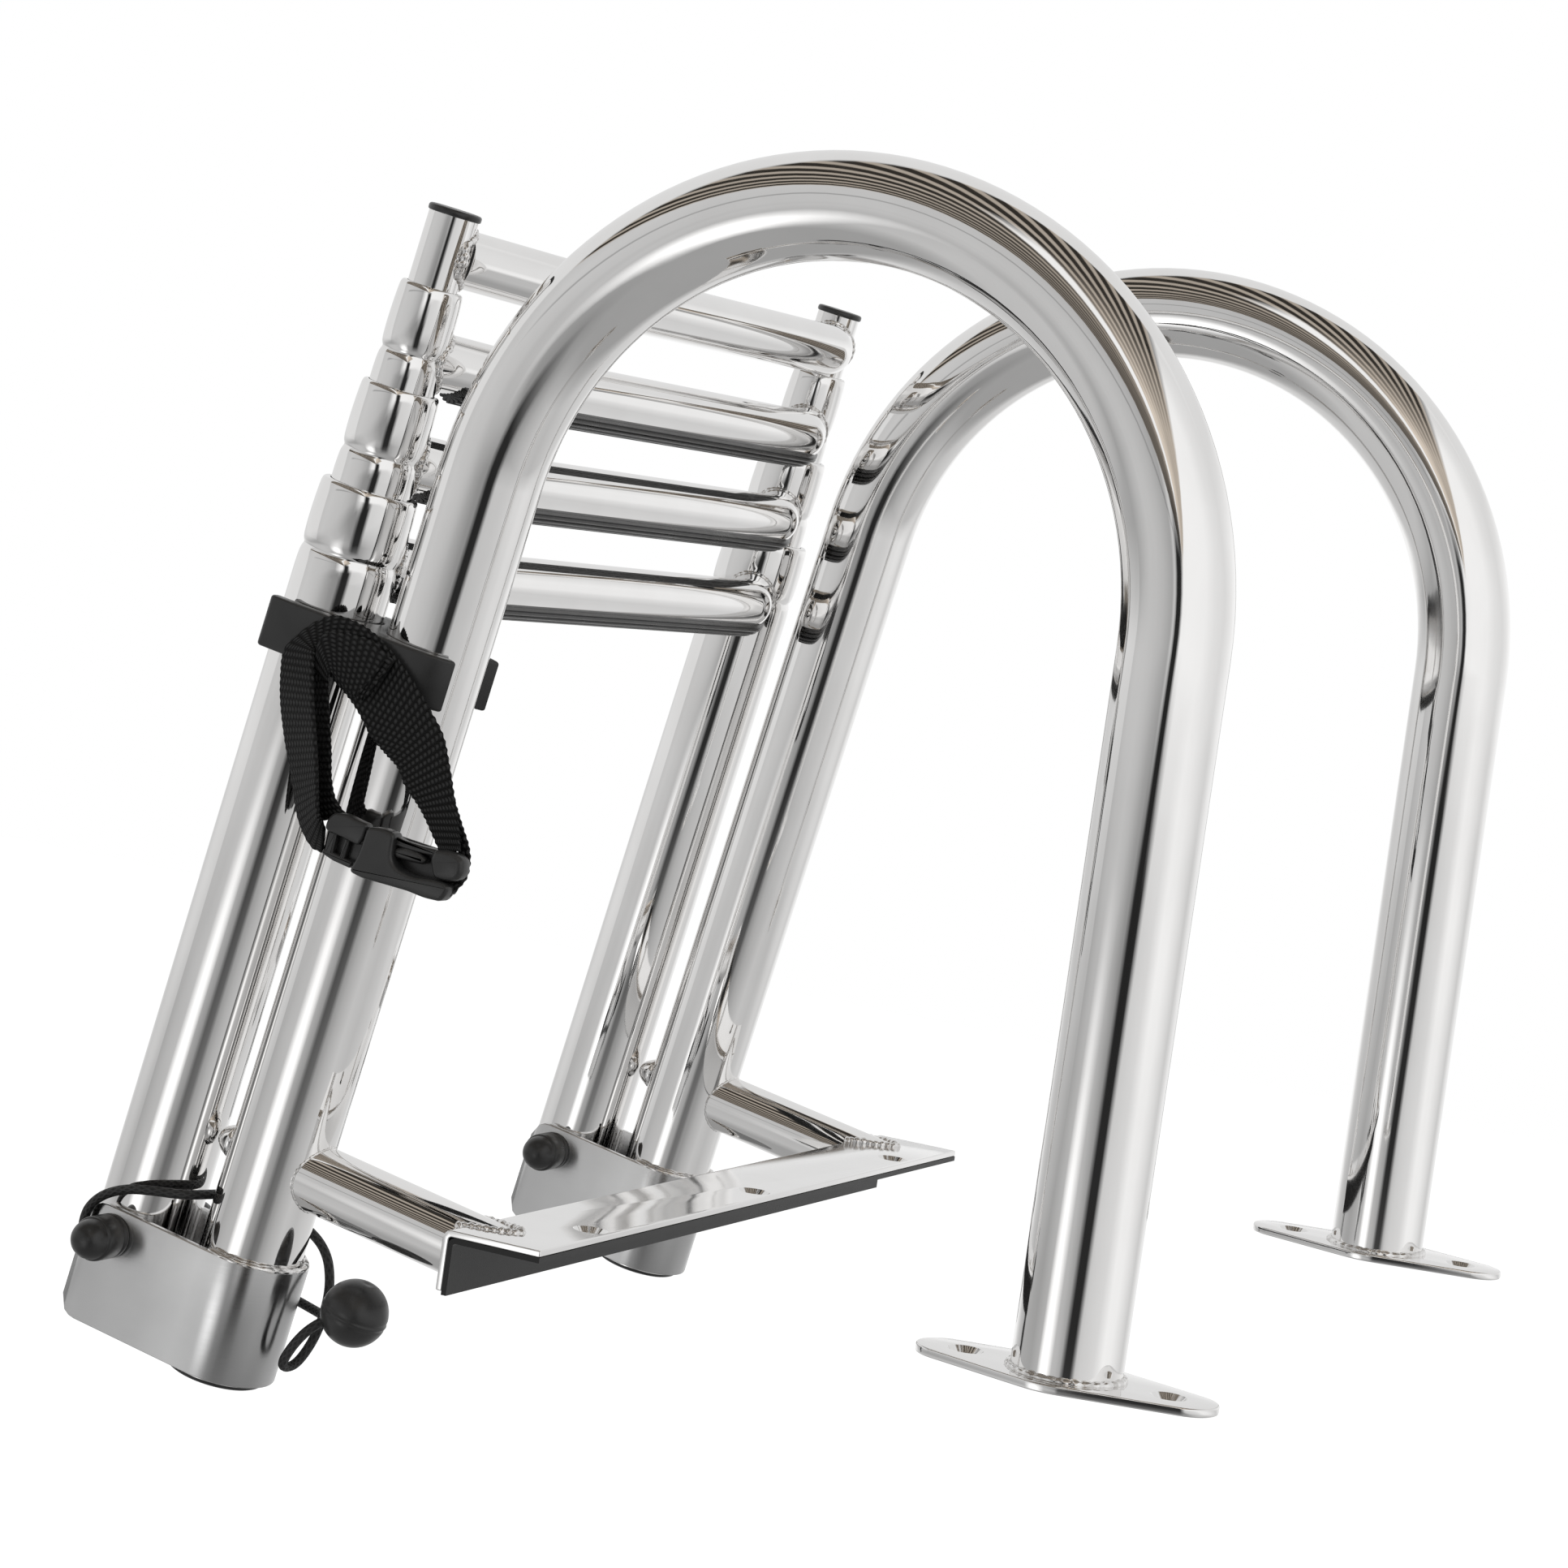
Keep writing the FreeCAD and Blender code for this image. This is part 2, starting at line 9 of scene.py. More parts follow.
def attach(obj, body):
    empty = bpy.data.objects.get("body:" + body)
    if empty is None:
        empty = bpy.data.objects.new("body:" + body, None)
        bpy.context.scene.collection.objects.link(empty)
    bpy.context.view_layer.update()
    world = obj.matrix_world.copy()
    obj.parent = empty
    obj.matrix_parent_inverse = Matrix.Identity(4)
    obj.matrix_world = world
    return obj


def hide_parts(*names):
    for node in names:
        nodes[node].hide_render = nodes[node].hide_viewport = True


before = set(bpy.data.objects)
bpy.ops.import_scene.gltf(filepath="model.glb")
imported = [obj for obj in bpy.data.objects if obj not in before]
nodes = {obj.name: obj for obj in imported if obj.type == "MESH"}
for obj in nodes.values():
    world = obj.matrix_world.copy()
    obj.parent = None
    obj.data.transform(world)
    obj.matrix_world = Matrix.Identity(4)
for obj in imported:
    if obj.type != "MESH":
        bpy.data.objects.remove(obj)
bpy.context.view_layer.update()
random.seed(7)

MM = 0.001
LEAN = math.radians(10.4)
SPLAY = math.radians(2.4)
LEG_X = 175.0
DECK_LEG_Y = -211.7
ARCH_R = 135.3
ARCH_Z = 243.7
TOP_Y = DECK_LEG_Y + ARCH_R * (1.0 + math.cos(LEAN))
TOP_Z = ARCH_Z + ARCH_R * math.sin(LEAN)
LEG_R = 19.0
STILE_OUT = 45.6
STILE_D = (37.2, 30.0, 24.4, 18.6)
WALL = 1.4
RUNG_R = 10.8
PIVOT = -307.0
STUB = -262.0
STUB_R = 12.5
CLIP = -73.2
RUNG_SET_BACK = 22.0
RUNG_SLOPE_RUN = 50.0
SHEET = 3.0
WELD_PITCH = 2.6
FLANGE = 3.0
ANGLE_TOP = 4.5
ANGLE_FACE = 22.0
HOLE_PITCH = 142.0
FLOOR_Z = -1.1  # metres: below the ladder's foot when it hangs drawn out
SECTIONS = ("ladder", "section_2", "section_3", "section_4")
SIDES = ((-1, "left"), (1, "right"))


def leg_point(x, out, up):
    """Millimetres in the leaning frame of the legs: across, outboard, up the leg."""
    return Vector((x,
                   TOP_Y + out * math.cos(LEAN) - up * math.sin(LEAN),
                   TOP_Z + out * math.sin(LEAN) + up * math.cos(LEAN))) * MM


LEG_FRAME = Matrix.Translation(leg_point(0, 0, 0)) @ Matrix.Rotation(LEAN, 4, "X")
LEG_UP = LEG_FRAME.to_3x3() @ Vector((0, 0, 1))


def on_leg(x, out, up, turn=0.0, axis="Z"):
    """Frame at a place by the legs, turned in degrees about one of its axes."""
    spot = Matrix.Translation(Vector((x, out, up)) * MM)
    return LEG_FRAME @ spot @ Matrix.Rotation(math.radians(turn), 4, axis)


# Camera and cords

camera = bpy.data.cameras.new("camera")
camera.sensor_width = 36.0
camera.lens = 91.6802
camera.shift_x = -0.0259
camera.shift_y = -0.0776
camera_object = bpy.data.objects.new("camera", camera)
camera_object.location = (-1.43747, -0.6318, 0.2737)
camera_object.rotation_euler = [math.radians(turn) for turn in (87.837, -8.1755, -66.1947)]
bpy.context.scene.collection.objects.link(camera_object)
bpy.context.scene.camera = camera_object

CORD_ROUTE = (
    (-199.1, 55.4, -313.0),
    (-199.2, 58.2, -304.5),
    (-198.9, 55.0, -295.5),
    (-197.4, 46.5, -289.0),
    (-196.6, 36.0, -285.5),
    (-190.0, 25.6, -284.0),
    (-178.0, 21.8, -283.5),
    (-164.0, 20.5, -284.0),
    (-152.5, 10.0, -285.5),
    (-150.2, -5.0, -288.0),
    (-155.0, -19.0, -291.5),
    (-163.5, -29.0, -299.0),
    (-169.5, -33.5, -309.0),
    (-171.0, -33.0, -320.5),
    (-173.0, -29.8, -331.0),
    (-180.8, -28.0, -330.4),
    (-181.6, -31.2, -320.0),
    (-179.4, -35.6, -311.0),
    (-176.4, -41.0, -305.8),
)
RETURN_ROUTE = (
    (-169.5, -43.0, -306.5),
    (-163.5, -38.5, -311.5),
    (-157.0, -31.0, -314.5),
    (-152.0, -20.5, -315.5),
    (-149.6, -7.0, -315.5),
    (-149.8, 9.0, -315.0),
    (-150.4, 25.0, -315.5),
    (-150.9, 38.5, -318.0),
    (-150.9, 49.5, -319.2),
    (-150.9, 57.0, -313.5),
    (-150.9, 58.0, -304.5),
)
CORD_D = 3.6
BALL = (-175.0, -47.8, -302.1)


def routed(name, route):
    """Elastic cord as a smooth NURBS line through the route's points."""
    curve = bpy.data.curves.new(name, "CURVE")
    curve.dimensions = "3D"
    spline = curve.splines.new("NURBS")
    spline.points.add(len(route) - 1)
    for point, place in zip(spline.points, route):
        point.co = (*leg_point(*place), 1.0)
        point.radius = CORD_D / 2.0 * MM
    spline.order_u = 3
    spline.use_endpoint_u = True
    spline.resolution_u = 12
    curve.bevel_depth = 1.0  # times each point's radius
    curve.bevel_resolution = 4
    curve.use_fill_caps = True
    piece = bpy.data.objects.new(name, curve)
    bpy.context.scene.collection.objects.link(piece)
    return piece


cord = routed("elastic_cord", CORD_ROUTE)
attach(cord, "handrails")
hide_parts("cord")
cord_return = routed("elastic_cord_return", RETURN_ROUTE)
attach(cord_return, "handrails")
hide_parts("cord_return")


# Shaders

class Wire:
    """A value in a shader. Arithmetic on it adds Math nodes, and node() adds any other."""

    def __init__(self, tree, socket=None):
        self.tree = tree
        self.socket = socket

    def node(self, kind, settings=None, sockets=None, out=0):
        made = self.tree.nodes.new("ShaderNode" + kind)
        for name, value in (settings or {}).items():
            if name == "stops":
                self.set_stops(made.color_ramp.elements, value)
            else:
                setattr(made, name, value)
        for name, value in (sockets or {}).items():
            if isinstance(value, Wire):
                self.tree.links.new(value.socket, made.inputs[name])
            else:
                made.inputs[name].default_value = value
        return Wire(self.tree, made.outputs[out])

    def set_stops(self, elements, stops):
        elements[0].position = stops[0][0]
        elements[1].position = stops[-1][0]
        for place, level in stops[1:-1]:
            elements.new(place)
        for element, (place, level) in zip(elements, stops):
            element.color = (level, level, level, 1.0)

    def math(self, operation, first, second):
        return self.node("Math", {"operation": operation}, {0: first, 1: second})

    def __add__(self, other):
        return self.math("ADD", self, other)

    def __radd__(self, other):
        return self.math("ADD", other, self)

    def __sub__(self, other):
        return self.math("SUBTRACT", self, other)

    def __rsub__(self, other):
        return self.math("SUBTRACT", other, self)

    def __mul__(self, other):
        return self.math("MULTIPLY", self, other)

    def __rmul__(self, other):
        return self.math("MULTIPLY", other, self)

    def __truediv__(self, other):
        return self.math("DIVIDE", self, other)

    def ramp(self, *stops):
        return self.node("ValToRGB", {"stops": stops}, {"Fac": self})

    def blend(self, first, second):
        """First colour where this value is 0, second where it is 1."""
        return self.node("Mix", {"data_type": "RGBA"}, {"Factor": self, "A": first, "B": second}, out="Result")

    def span(self, start, end):
        """0 at start, 1 at end, even between them and held outside them."""
        return self.node("MapRange", None, {"Value": self, "From Min": start, "From Max": end})

    def clamped(self, low, high):
        return self.node("Clamp", None, {"Value": self, "Min": low, "Max": high})

    def whole(self):
        return self.math("FLOOR", self, 0.0)

    def fraction(self):
        return self.math("FRACT", self, 0.0)

    def sine(self):
        return self.math("SINE", self, 0.0)

    def larger(self, other):
        return self.math("MAXIMUM", self, other)

    def axis(self, name):
        return self.node("SeparateXYZ", None, {"Vector": self}, out=name)

    def scaled(self, *factors):
        return self.node("VectorMath", {"operation": "MULTIPLY"}, {0: self, 1: factors})

    def dot(self, other):
        return self.node("VectorMath", {"operation": "DOT_PRODUCT"}, {0: self, 1: other}, out="Value")

    def noise(self, scale, detail=2.0, rough=0.5):
        return self.node("TexNoise", None, {"Vector": self, "Scale": scale, "Detail": detail, "Roughness": rough})

    def bump(self, height, depth, strength=1.0):
        return self.node("Bump", None, {"Height": height, "Distance": depth, "Strength": strength})


def grey(level, warmth=0.0):
    return (level * (1.0 + warmth), level, level * (1.0 - warmth), 1.0)


def emptied(owner):
    """Start of the shader of a material or the world."""
    owner.use_nodes = True
    owner.node_tree.nodes.clear()
    return Wire(owner.node_tree)


def output(shader, kind="OutputMaterial"):
    end = shader.tree.nodes.new("ShaderNode" + kind)
    shader.tree.links.new(shader.socket, end.inputs["Surface"])


def finish(name, make, **constants):
    """Material with one Principled shader: constants sit on its sockets, make returns the links."""
    material = bpy.data.materials.new(name)
    wire = emptied(material)
    output(wire.node("BsdfPrincipled", None, {**constants, **make(wire)}))
    return material


def drawn_tube(wire):
    """Polished tube: faint lines along it and slow waves from the drawing, on its UVs."""
    place = wire.node("TexCoord", out="UV")
    lines = place.scaled(12.0, 900.0, 1.0).noise(1.0, 3.0)
    waves = place.scaled(9.0, 60.0, 1.0).noise(1.0, 1.0)
    cloud = place.scaled(30.0, 60.0, 1.0).noise(1.0, 4.0)
    rough = 0.015 + cloud.ramp((0.35, 0.0), (0.75, 1.0)) * 0.04 + lines * 0.02
    tone = cloud.ramp((0.3, 0.0), (0.8, 1.0)).blend(grey(0.88, 0.008), grey(0.83, 0.01))
    height = waves + lines * 0.04
    return {"Base Color": tone, "Roughness": rough, "Normal": wire.bump(height, 0.00006)}


def mirror_sheet(wire):
    """Polished flat sheet, rolled along X."""
    place = wire.node("TexCoord", out="Object")
    lines = place.scaled(14.0, 700.0, 700.0).noise(1.0, 3.0)
    waves = place.scaled(10.0, 40.0, 40.0).noise(1.0, 1.0)
    cloud = place.noise(45.0, 4.0)
    rough = 0.05 + cloud * 0.06 + lines * 0.04
    tone = cloud.blend(grey(0.88, 0.006), grey(0.82, 0.01))
    return {"Base Color": tone, "Roughness": rough, "Normal": wire.bump(waves + lines * 0.05, 0.00006)}


def satin_sheet(wire):
    """Folded sheet brushed round its fold, with painted light across it: a painted highlight where it starts to bend.
    """
    place = wire.node("TexCoord", out="Object")
    grain = place.scaled(60.0, 60.0, 1500.0).noise(1.0, 4.0, 0.6)
    cloud = place.noise(60.0, 4.0)
    leg_out = (TOP_Y * math.cos(LEAN) + TOP_Z * math.sin(LEAN)) * MM
    out = place.dot((0.0, math.cos(LEAN), math.sin(LEAN))) - leg_out
    # Painted light and shade outboard from the leg: dark on the wrap round the leg, a painted highlight where the
    # flat starts to bend, dimmer towards the outboard end.
    painted_light_and_shade = out.span(-0.022, 0.062).ramp((0.0, 0.44), (0.14, 0.44), (0.24, 0.86), (0.36, 0.92), (0.55, 0.8),
                                        (1.0, 0.66))
    tone = (cloud * 0.16 + 0.02).blend(painted_light_and_shade, grey(0.3, 0.01))
    return {"Base Color": tone, "Roughness": 0.16 + grain * 0.1 + cloud * 0.05, "Normal": wire.bump(grain, 0.00002)}


def bright_weld(wire):
    """Fused bead: bright, with small heat-darkened hollows."""
    place = wire.node("TexCoord", out="Object")
    pits = place.noise(900.0, 3.0)
    cloud = place.noise(260.0, 3.0)
    tone = cloud.ramp((0.45, 0.0), (0.72, 1.0)).blend(grey(0.82, 0.01), grey(0.5, 0.04))
    return {"Base Color": tone, "Roughness": 0.1 + pits * 0.14, "Normal": wire.bump(pits, 0.00008)}


def moulded_rubber(wire):
    place = wire.node("TexCoord", out="Object")
    grain = place.noise(2600.0, 2.0)
    cloud = place.noise(90.0, 4.0)
    tone = cloud.blend(grey(0.008), grey(0.016, 0.02))
    return {"Base Color": tone, "Roughness": 0.22 + cloud * 0.16, "Normal": wire.bump(grain, 0.00004)}


def moulded_plastic(wire):
    place = wire.node("TexCoord", out="Object")
    grain = place.noise(3400.0, 2.0)
    cloud = place.noise(70.0, 4.0)
    tone = cloud.blend(grey(0.008), grey(0.024, 0.01))
    return {"Base Color": tone, "Roughness": 0.24 + cloud * 0.16, "Normal": wire.bump(grain, 0.00002)}


def woven(wire):
    """Webbing on its UVs: rows of yarn grains across it, every second row half a grain aside."""
    place = wire.node("TexCoord", out="UV")
    row = place.axis("X") / (RIB * MM)
    grain = place.axis("Y") / (GRAIN * MM) + row.whole() * 0.5
    hump = (row.fraction() * math.pi).sine()
    knot = (grain.fraction() * math.pi).sine()
    fuzz = place.noise(3500.0, 3.0)
    height = hump * (knot * 0.75 + 0.25)
    # The tone follows the yarn's height: painted shade darkens the gaps between grains and rows, and the crests are
    # painted lighter.
    tone = (height * 1.5 - 0.6 + fuzz * 0.2).blend(grey(0.0008), grey(0.024))
    return {"Base Color": tone, "Roughness": 0.5 + fuzz * 0.3, "Normal": wire.bump(height + fuzz * 0.1, 0.0006)}


def braid(wire):
    """Braided sleeve on the cord, on its UVs: along it and round it."""
    place = wire.node("TexCoord", out="UV")
    along = place.axis("X") * 320.0
    ends = place.axis("Y") * 37.7
    height = (along + ends).sine().larger((along - ends).sine())
    # The tone follows the strands' height: painted shade darkens the grooves between strands, and the crests are
    # painted lighter.
    tone = height.blend(grey(0.006), grey(0.018))
    return {"Base Color": tone, "Roughness": 0.55 - height * 0.1, "Normal": wire.bump(height, 0.00012)}


RIB = 2.5
GRAIN = 1.9
STEEL = {"Metallic": 1.0, "IOR": 2.5}
tube_steel = finish("tube_steel", drawn_tube, **STEEL)
plate_steel = finish("plate_steel", mirror_sheet, **STEEL)
bracket_steel = finish("bracket_steel", satin_sheet, **STEEL, Anisotropic=0.9, **{"Anisotropic Rotation": 0.25})
weld_steel = finish("weld_steel", bright_weld, **STEEL)
black_rubber = finish("black_rubber", moulded_rubber)
pad_rubber = finish("pad_rubber", moulded_rubber, **{"Specular IOR Level": 0.22})
black_plastic = finish("black_plastic", moulded_plastic)
black_braid = finish("black_braid", braid)
black_webbing = finish("black_webbing", woven, **{"Specular IOR Level": 0.25})


# Mesh makers

UP = Vector((0, 0, 1))


def circle(steps):
    """Angles once round."""
    return [2.0 * math.pi * k / steps for k in range(steps)]


def around(centre, r, start, end, steps):
    """Points on an arc, in degrees."""
    return [(centre[0] + r * math.cos(math.radians(start + (end - start) * n / steps)),
             centre[1] + r * math.sin(math.radians(start + (end - start) * n / steps))) for n in range(steps + 1)]


def add_piece(name, points, faces, uvs, material, sharp=35.0):
    """Mesh object, smooth but for the edges that turn more than sharp degrees."""
    mesh = bpy.data.meshes.new(name)
    mesh.from_pydata(points, [], faces)
    if uvs:
        layer = mesh.uv_layers.new(name="lay")
        for loop, uv in zip(layer.data, uvs):
            loop.uv = uv
    mesh.shade_smooth()
    mesh.set_sharp_from_angle(angle=math.radians(sharp))
    mesh.materials.append(material)
    piece = bpy.data.objects.new(name, mesh)
    bpy.context.scene.collection.objects.link(piece)
    return piece


def skin(name, rings, material, sharp=35.0, loop=False):
    """Surface over rings of points. UVs run along it and round it, in metres."""
    count = len(rings[0])
    rows = len(rings)
    along = [0.0]
    for k in range(1, rows + 1):
        step = sum((rings[k % rows][j] - rings[k - 1][j]).length for j in range(0, count, 4))
        along.append(along[-1] + step / len(range(0, count, 4)))
    middle = rings[rows // 2]
    across = [0.0]
    for j in range(count):
        across.append(across[-1] + (middle[(j + 1) % count] - middle[j]).length)
    points = [point for ring in rings for point in ring]
    faces = []
    uvs = []
    for k in range(rows if loop else rows - 1):
        for j in range(count):
            following = (j + 1) % count
            above = (k + 1) % rows
            faces.append((k * count + j, k * count + following, above * count + following, above * count + j))
            uvs += [(along[k], across[j]), (along[k], across[j + 1]),
                    (along[k + 1], across[j + 1]), (along[k + 1], across[j])]
    return add_piece(name, points, faces, uvs, material, sharp)


def closed_skin(name, rings, material, sharp=35.0):
    """Skin with both ends closed by a point in their middle."""
    ends = [[sum(ring, Vector()) / len(ring)] * len(ring) for ring in (rings[0], rings[-1])]
    return skin(name, [ends[0]] + rings + [ends[1]], material, sharp)


def lathe(name, profile, place, material, steps=64, sharp=35.0):
    """Turned piece: radius and height in millimetres, about Z of the place matrix."""
    rings = [[place @ (Vector((r * math.cos(turn), r * math.sin(turn), h)) * MM) for turn in circle(steps)]
             for r, h in profile]
    return skin(name, rings, material, sharp)


def inset(outline, amount):
    """Moves a closed outline inwards; it runs anticlockwise."""
    out = []
    for k, point in enumerate(outline):
        before = (point - outline[k - 1]).normalized()
        after = (outline[(k + 1) % len(outline)] - point).normalized()
        normal = Vector((-before.y - after.y, before.x + after.x))
        reach = max(0.4, normal.length_squared / 2.0)
        out.append(point + normal / reach * amount)
    return out


def smooth(points, steps=6, closed=True):
    """Catmull-Rom curve through points of any size."""
    out = []
    count = len(points)
    for k in range(count if closed else count - 1):
        if closed:
            four = [points[(k + n) % count] for n in (-1, 0, 1, 2)]
        else:
            four = [points[min(max(k + n, 0), count - 1)] for n in (-1, 0, 1, 2)]
        a, b, c, d = (Vector(point) for point in four)
        for n in range(steps):
            t = n / steps
            out.append(0.5 * (2.0 * b + (c - a) * t + (2.0 * a - 5.0 * b + 4.0 * c - d) * t * t
                              + (3.0 * b - a - 3.0 * c + d) * t * t * t))
    if not closed:
        out.append(Vector(points[-1]))
    return out


def rounded(corners, radii, steps=5):
    """Polygon with rounded corners, anticlockwise."""
    out = []
    for k, corner in enumerate(corners):
        here = Vector(corner)
        before = Vector(corners[k - 1]) - here
        after = Vector(corners[(k + 1) % len(corners)]) - here
        r = radii[k] if isinstance(radii, (tuple, list)) else radii
        back = min(r, before.length * 0.49, after.length * 0.49)
        start = here + before.normalized() * back
        end = here + after.normalized() * back
        for n in range(steps + 1):
            t = n / steps
            out.append(start * (1 - t) ** 2 + here * 2 * t * (1 - t) + end * t * t)
    return out


def moulding(name, outline, low, high, edge, place, material, sharp=40.0):
    """Outline in millimetres, either way round, pulled from low to high along Z, with rounded rims."""
    outline = [Vector(point) for point in outline]
    if sum(a.x * b.y - a.y * b.x for a, b in zip(outline, outline[1:] + outline[:1])) < 0.0:
        outline.reverse()
    levels = []
    for n in range(5):
        turn = math.pi / 2.0 * n / 4
        levels.append((low + edge * (1.0 - math.sin(turn)), edge * (1.0 - math.cos(turn))))
    levels.reverse()
    levels = [(level, depth) for level, depth in levels if level < (low + high) / 2.0]
    levels += [(low + high - level, depth) for level, depth in reversed(levels)]
    levels.sort()
    points = []
    for level, depth in levels:
        for point in inset(outline, depth):
            points.append(place @ (Vector((point.x, point.y, level)) * MM))
    count = len(outline)
    faces = []
    for k in range(len(levels) - 1):
        for j in range(count):
            following = (j + 1) % count
            faces.append((k * count + j, k * count + following, (k + 1) * count + following, (k + 1) * count + j))
    faces.append(tuple(reversed(range(count))))
    faces.append(tuple(range((len(levels) - 1) * count, len(levels) * count)))
    return add_piece(name, points, faces, None, material, sharp)


def drilled(piece, tools, sharp=35.0):
    """Cuts pieces out of a piece and takes them away."""
    for tool in tools:
        cutter = piece.modifiers.new("cut", "BOOLEAN")
        cutter.operation = "DIFFERENCE"
        cutter.solver = "EXACT"
        cutter.object = tool
    bpy.context.view_layer.update()
    made = piece.evaluated_get(bpy.context.evaluated_depsgraph_get())
    mesh = bpy.data.meshes.new_from_object(made)
    piece.modifiers.clear()
    piece.data = mesh
    mesh.shade_smooth()
    mesh.set_sharp_from_angle(angle=math.radians(sharp))
    for tool in tools:
        bpy.data.objects.remove(tool)
    return piece


def frames_along(path, side_hint):
    """Each path point with its way, side and third axis, turned as little as possible."""
    out = []
    side = side_hint
    for k, point in enumerate(path):
        before = path[max(k - 1, 0)]
        after = path[min(k + 1, len(path) - 1)]
        way = (after - before).normalized()
        side = (side - way * side.dot(way)).normalized()
        out.append((point, way, side, way.cross(side)))
    return out


def round_rings(path, r, side_hint=Vector((1, 0, 0)), steps=48):
    """Circles over a path of points, millimetres for the radius."""
    return [[point + (side * math.cos(turn) + third * math.sin(turn)) * r * MM for turn in circle(steps)]
            for point, way, side, third in frames_along(path, side_hint)]


def bead(name, path, normals, r, pitch, closed, material=weld_steel):
    """Weld bead or stitches: overlapping ripples along a path, a little uneven."""
    total = sum((path[k] - path[k - 1]).length for k in range(1, len(path)))
    ripples = max(3, round(total / (pitch * MM)))
    steps = 10
    per_ripple = 6
    count = ripples * per_ripple
    spots = resample(path, normals, count, closed)
    wobble = [random.uniform(0.85, 1.15) for k in range(ripples + 1)]
    rings = []
    for k, (point, way, normal) in enumerate(spots):
        ripple = (k % per_ripple) / per_ripple
        size = r * wobble[min(k // per_ripple, ripples)] * (0.80 + 0.28 * math.sin(math.pi * ripple) ** 0.7)
        side = way.cross(normal).normalized()
        ring = []
        for turn in circle(steps):
            lag = way * (0.35 * r * MM * math.cos(turn))
            ring.append(point + (side * math.sin(turn) + normal * math.cos(turn)) * size * MM - lag)
        rings.append(ring)
    return skin(name, rings, material, 80.0, closed)


def resample(path, normals, count, closed):
    """Even spacing: each spot with its way and normal."""
    spots = path + [path[0]] if closed else path
    facing = normals + [normals[0]] if closed else normals
    lengths = [0.0]
    for k in range(1, len(spots)):
        lengths.append(lengths[-1] + (spots[k] - spots[k - 1]).length)
    out = []
    total = lengths[-1]
    k = 0
    for n in range(count if closed else count + 1):
        target = total * n / count
        while k < len(lengths) - 2 and lengths[k + 1] < target:
            k += 1
        share = (target - lengths[k]) / max(lengths[k + 1] - lengths[k], 1e-9)
        point = spots[k].lerp(spots[k + 1], share)
        way = (spots[k + 1] - spots[k]).normalized()
        normal = facing[k].lerp(facing[k + 1], share).normalized()
        out.append((point, way, normal))
    return out


def fitted(piece, body, slot, *replaced):
    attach(piece, body)
    if replaced:
        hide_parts(*replaced)
    return piece


# Handrail hoops

def splayed(point, side):
    """Turns a point of a hoop about its own rear leg."""
    centre = Vector((side * LEG_X, TOP_Y, TOP_Z)) * MM
    down = Vector((0, math.sin(LEAN), -math.cos(LEAN)))
    return centre + Matrix.Rotation(-side * SPLAY, 3, down) @ (point - centre)


def hoop_path(side):
    x = side * LEG_X
    path = [Vector((x, DECK_LEG_Y, z)) * MM for z in (2.6, 30, 90, 150, 210)]
    for k in range(65):
        turn = math.pi - (math.pi - LEAN) * k / 64
        y = DECK_LEG_Y + ARCH_R + ARCH_R * math.cos(turn)
        path.append(Vector((x, y, ARCH_Z + ARCH_R * math.sin(turn))) * MM)
    path += [leg_point(x, 0, -s) for s in (60, 120, 180, 240, 300, 343)]
    return [splayed(point, side) for point in path]


def foot_spot(side):
    """Where the deck leg meets its flange, and its way up."""
    low = splayed(Vector((side * LEG_X, DECK_LEG_Y, 0)) * MM, side)
    high = splayed(Vector((side * LEG_X, DECK_LEG_Y, 200)) * MM, side)
    way = (high - low).normalized()
    return low + way * ((FLANGE * MM - low.z) / way.z), way


for side, word in SIDES:
    hoop = closed_skin("hoop_tube_" + word, round_rings(hoop_path(side), LEG_R, steps=64), tube_steel)
    fitted(hoop, "handrails", "polished_steel", "hoop_" + word)
    foot, way = foot_spot(side)
    across = Vector((1, 0, 0)) - way * way.x
    across.normalize()
    third = way.cross(across)
    path = []
    facing = []
    for turn in circle(48):
        out = across * math.cos(turn) + third * math.sin(turn)
        path.append(foot + out * (LEG_R + 0.5) * MM + way * 0.4 * MM)
        facing.append((out + way).normalized())
    fitted(bead("foot_weld_" + word, path, facing, 1.3, 4.0, True), "handrails", "polished_steel")


# Stub tubes

def stub_rings(side):
    """Tube coped to the rear leg at one end and over the angle's outer corner at the other."""
    near = []
    far = []
    for turn in circle(64):
        dx = STUB_R * math.cos(turn)
        dh = STUB_R * math.sin(turn)
        start = math.sqrt(LEG_R ** 2 - dx ** 2) - 0.3
        near.append(leg_point(side * LEG_X + dx, -start, STUB + dh))
        y_axis = TOP_Y - (STUB + dh) * math.sin(LEAN)
        z_axis = TOP_Z + (STUB + dh) * math.cos(LEAN)
        to_face = (y_axis - ANGLE_FACE) / math.cos(LEAN)
        to_top = (z_axis - ANGLE_TOP) / math.sin(LEAN)
        far.append(leg_point(side * LEG_X + dx, -max(to_face, min(to_top, to_face + 60.0)), STUB + dh))
    return near, far


for side, word in SIDES:
    near, far = stub_rings(side)
    rings = [[a.lerp(b, k / 6) for a, b in zip(near, far)] for k in range(7)]
    fitted(skin("stub_" + word, rings, tube_steel), "handrails", "polished_steel", "stub_tube_" + word)
    middle = sum(far, Vector()) / len(far)
    facing = [((point - middle).normalized() + Vector((0, 0.5, 0.5))).normalized() for point in far]
    fitted(bead("stub_plate_weld_" + word, far, facing, 1.7, WELD_PITCH, True), "handrails", "polished_steel")
    middle = leg_point(side * LEG_X, -LEG_R, STUB)
    facing = [((point - middle).normalized() + Vector((0, -0.6, 0))).normalized() for point in near]
    fitted(bead("stub_leg_weld_" + word, near, facing, 0.6, WELD_PITCH, True), "handrails", "polished_steel")


# Ladder sections

def lip_up(k):
    """Height of a section's open top when the ladder is closed."""
    return -18.1 + 38.3 * k


def rung_up(k):
    return lip_up(k) - 25.8


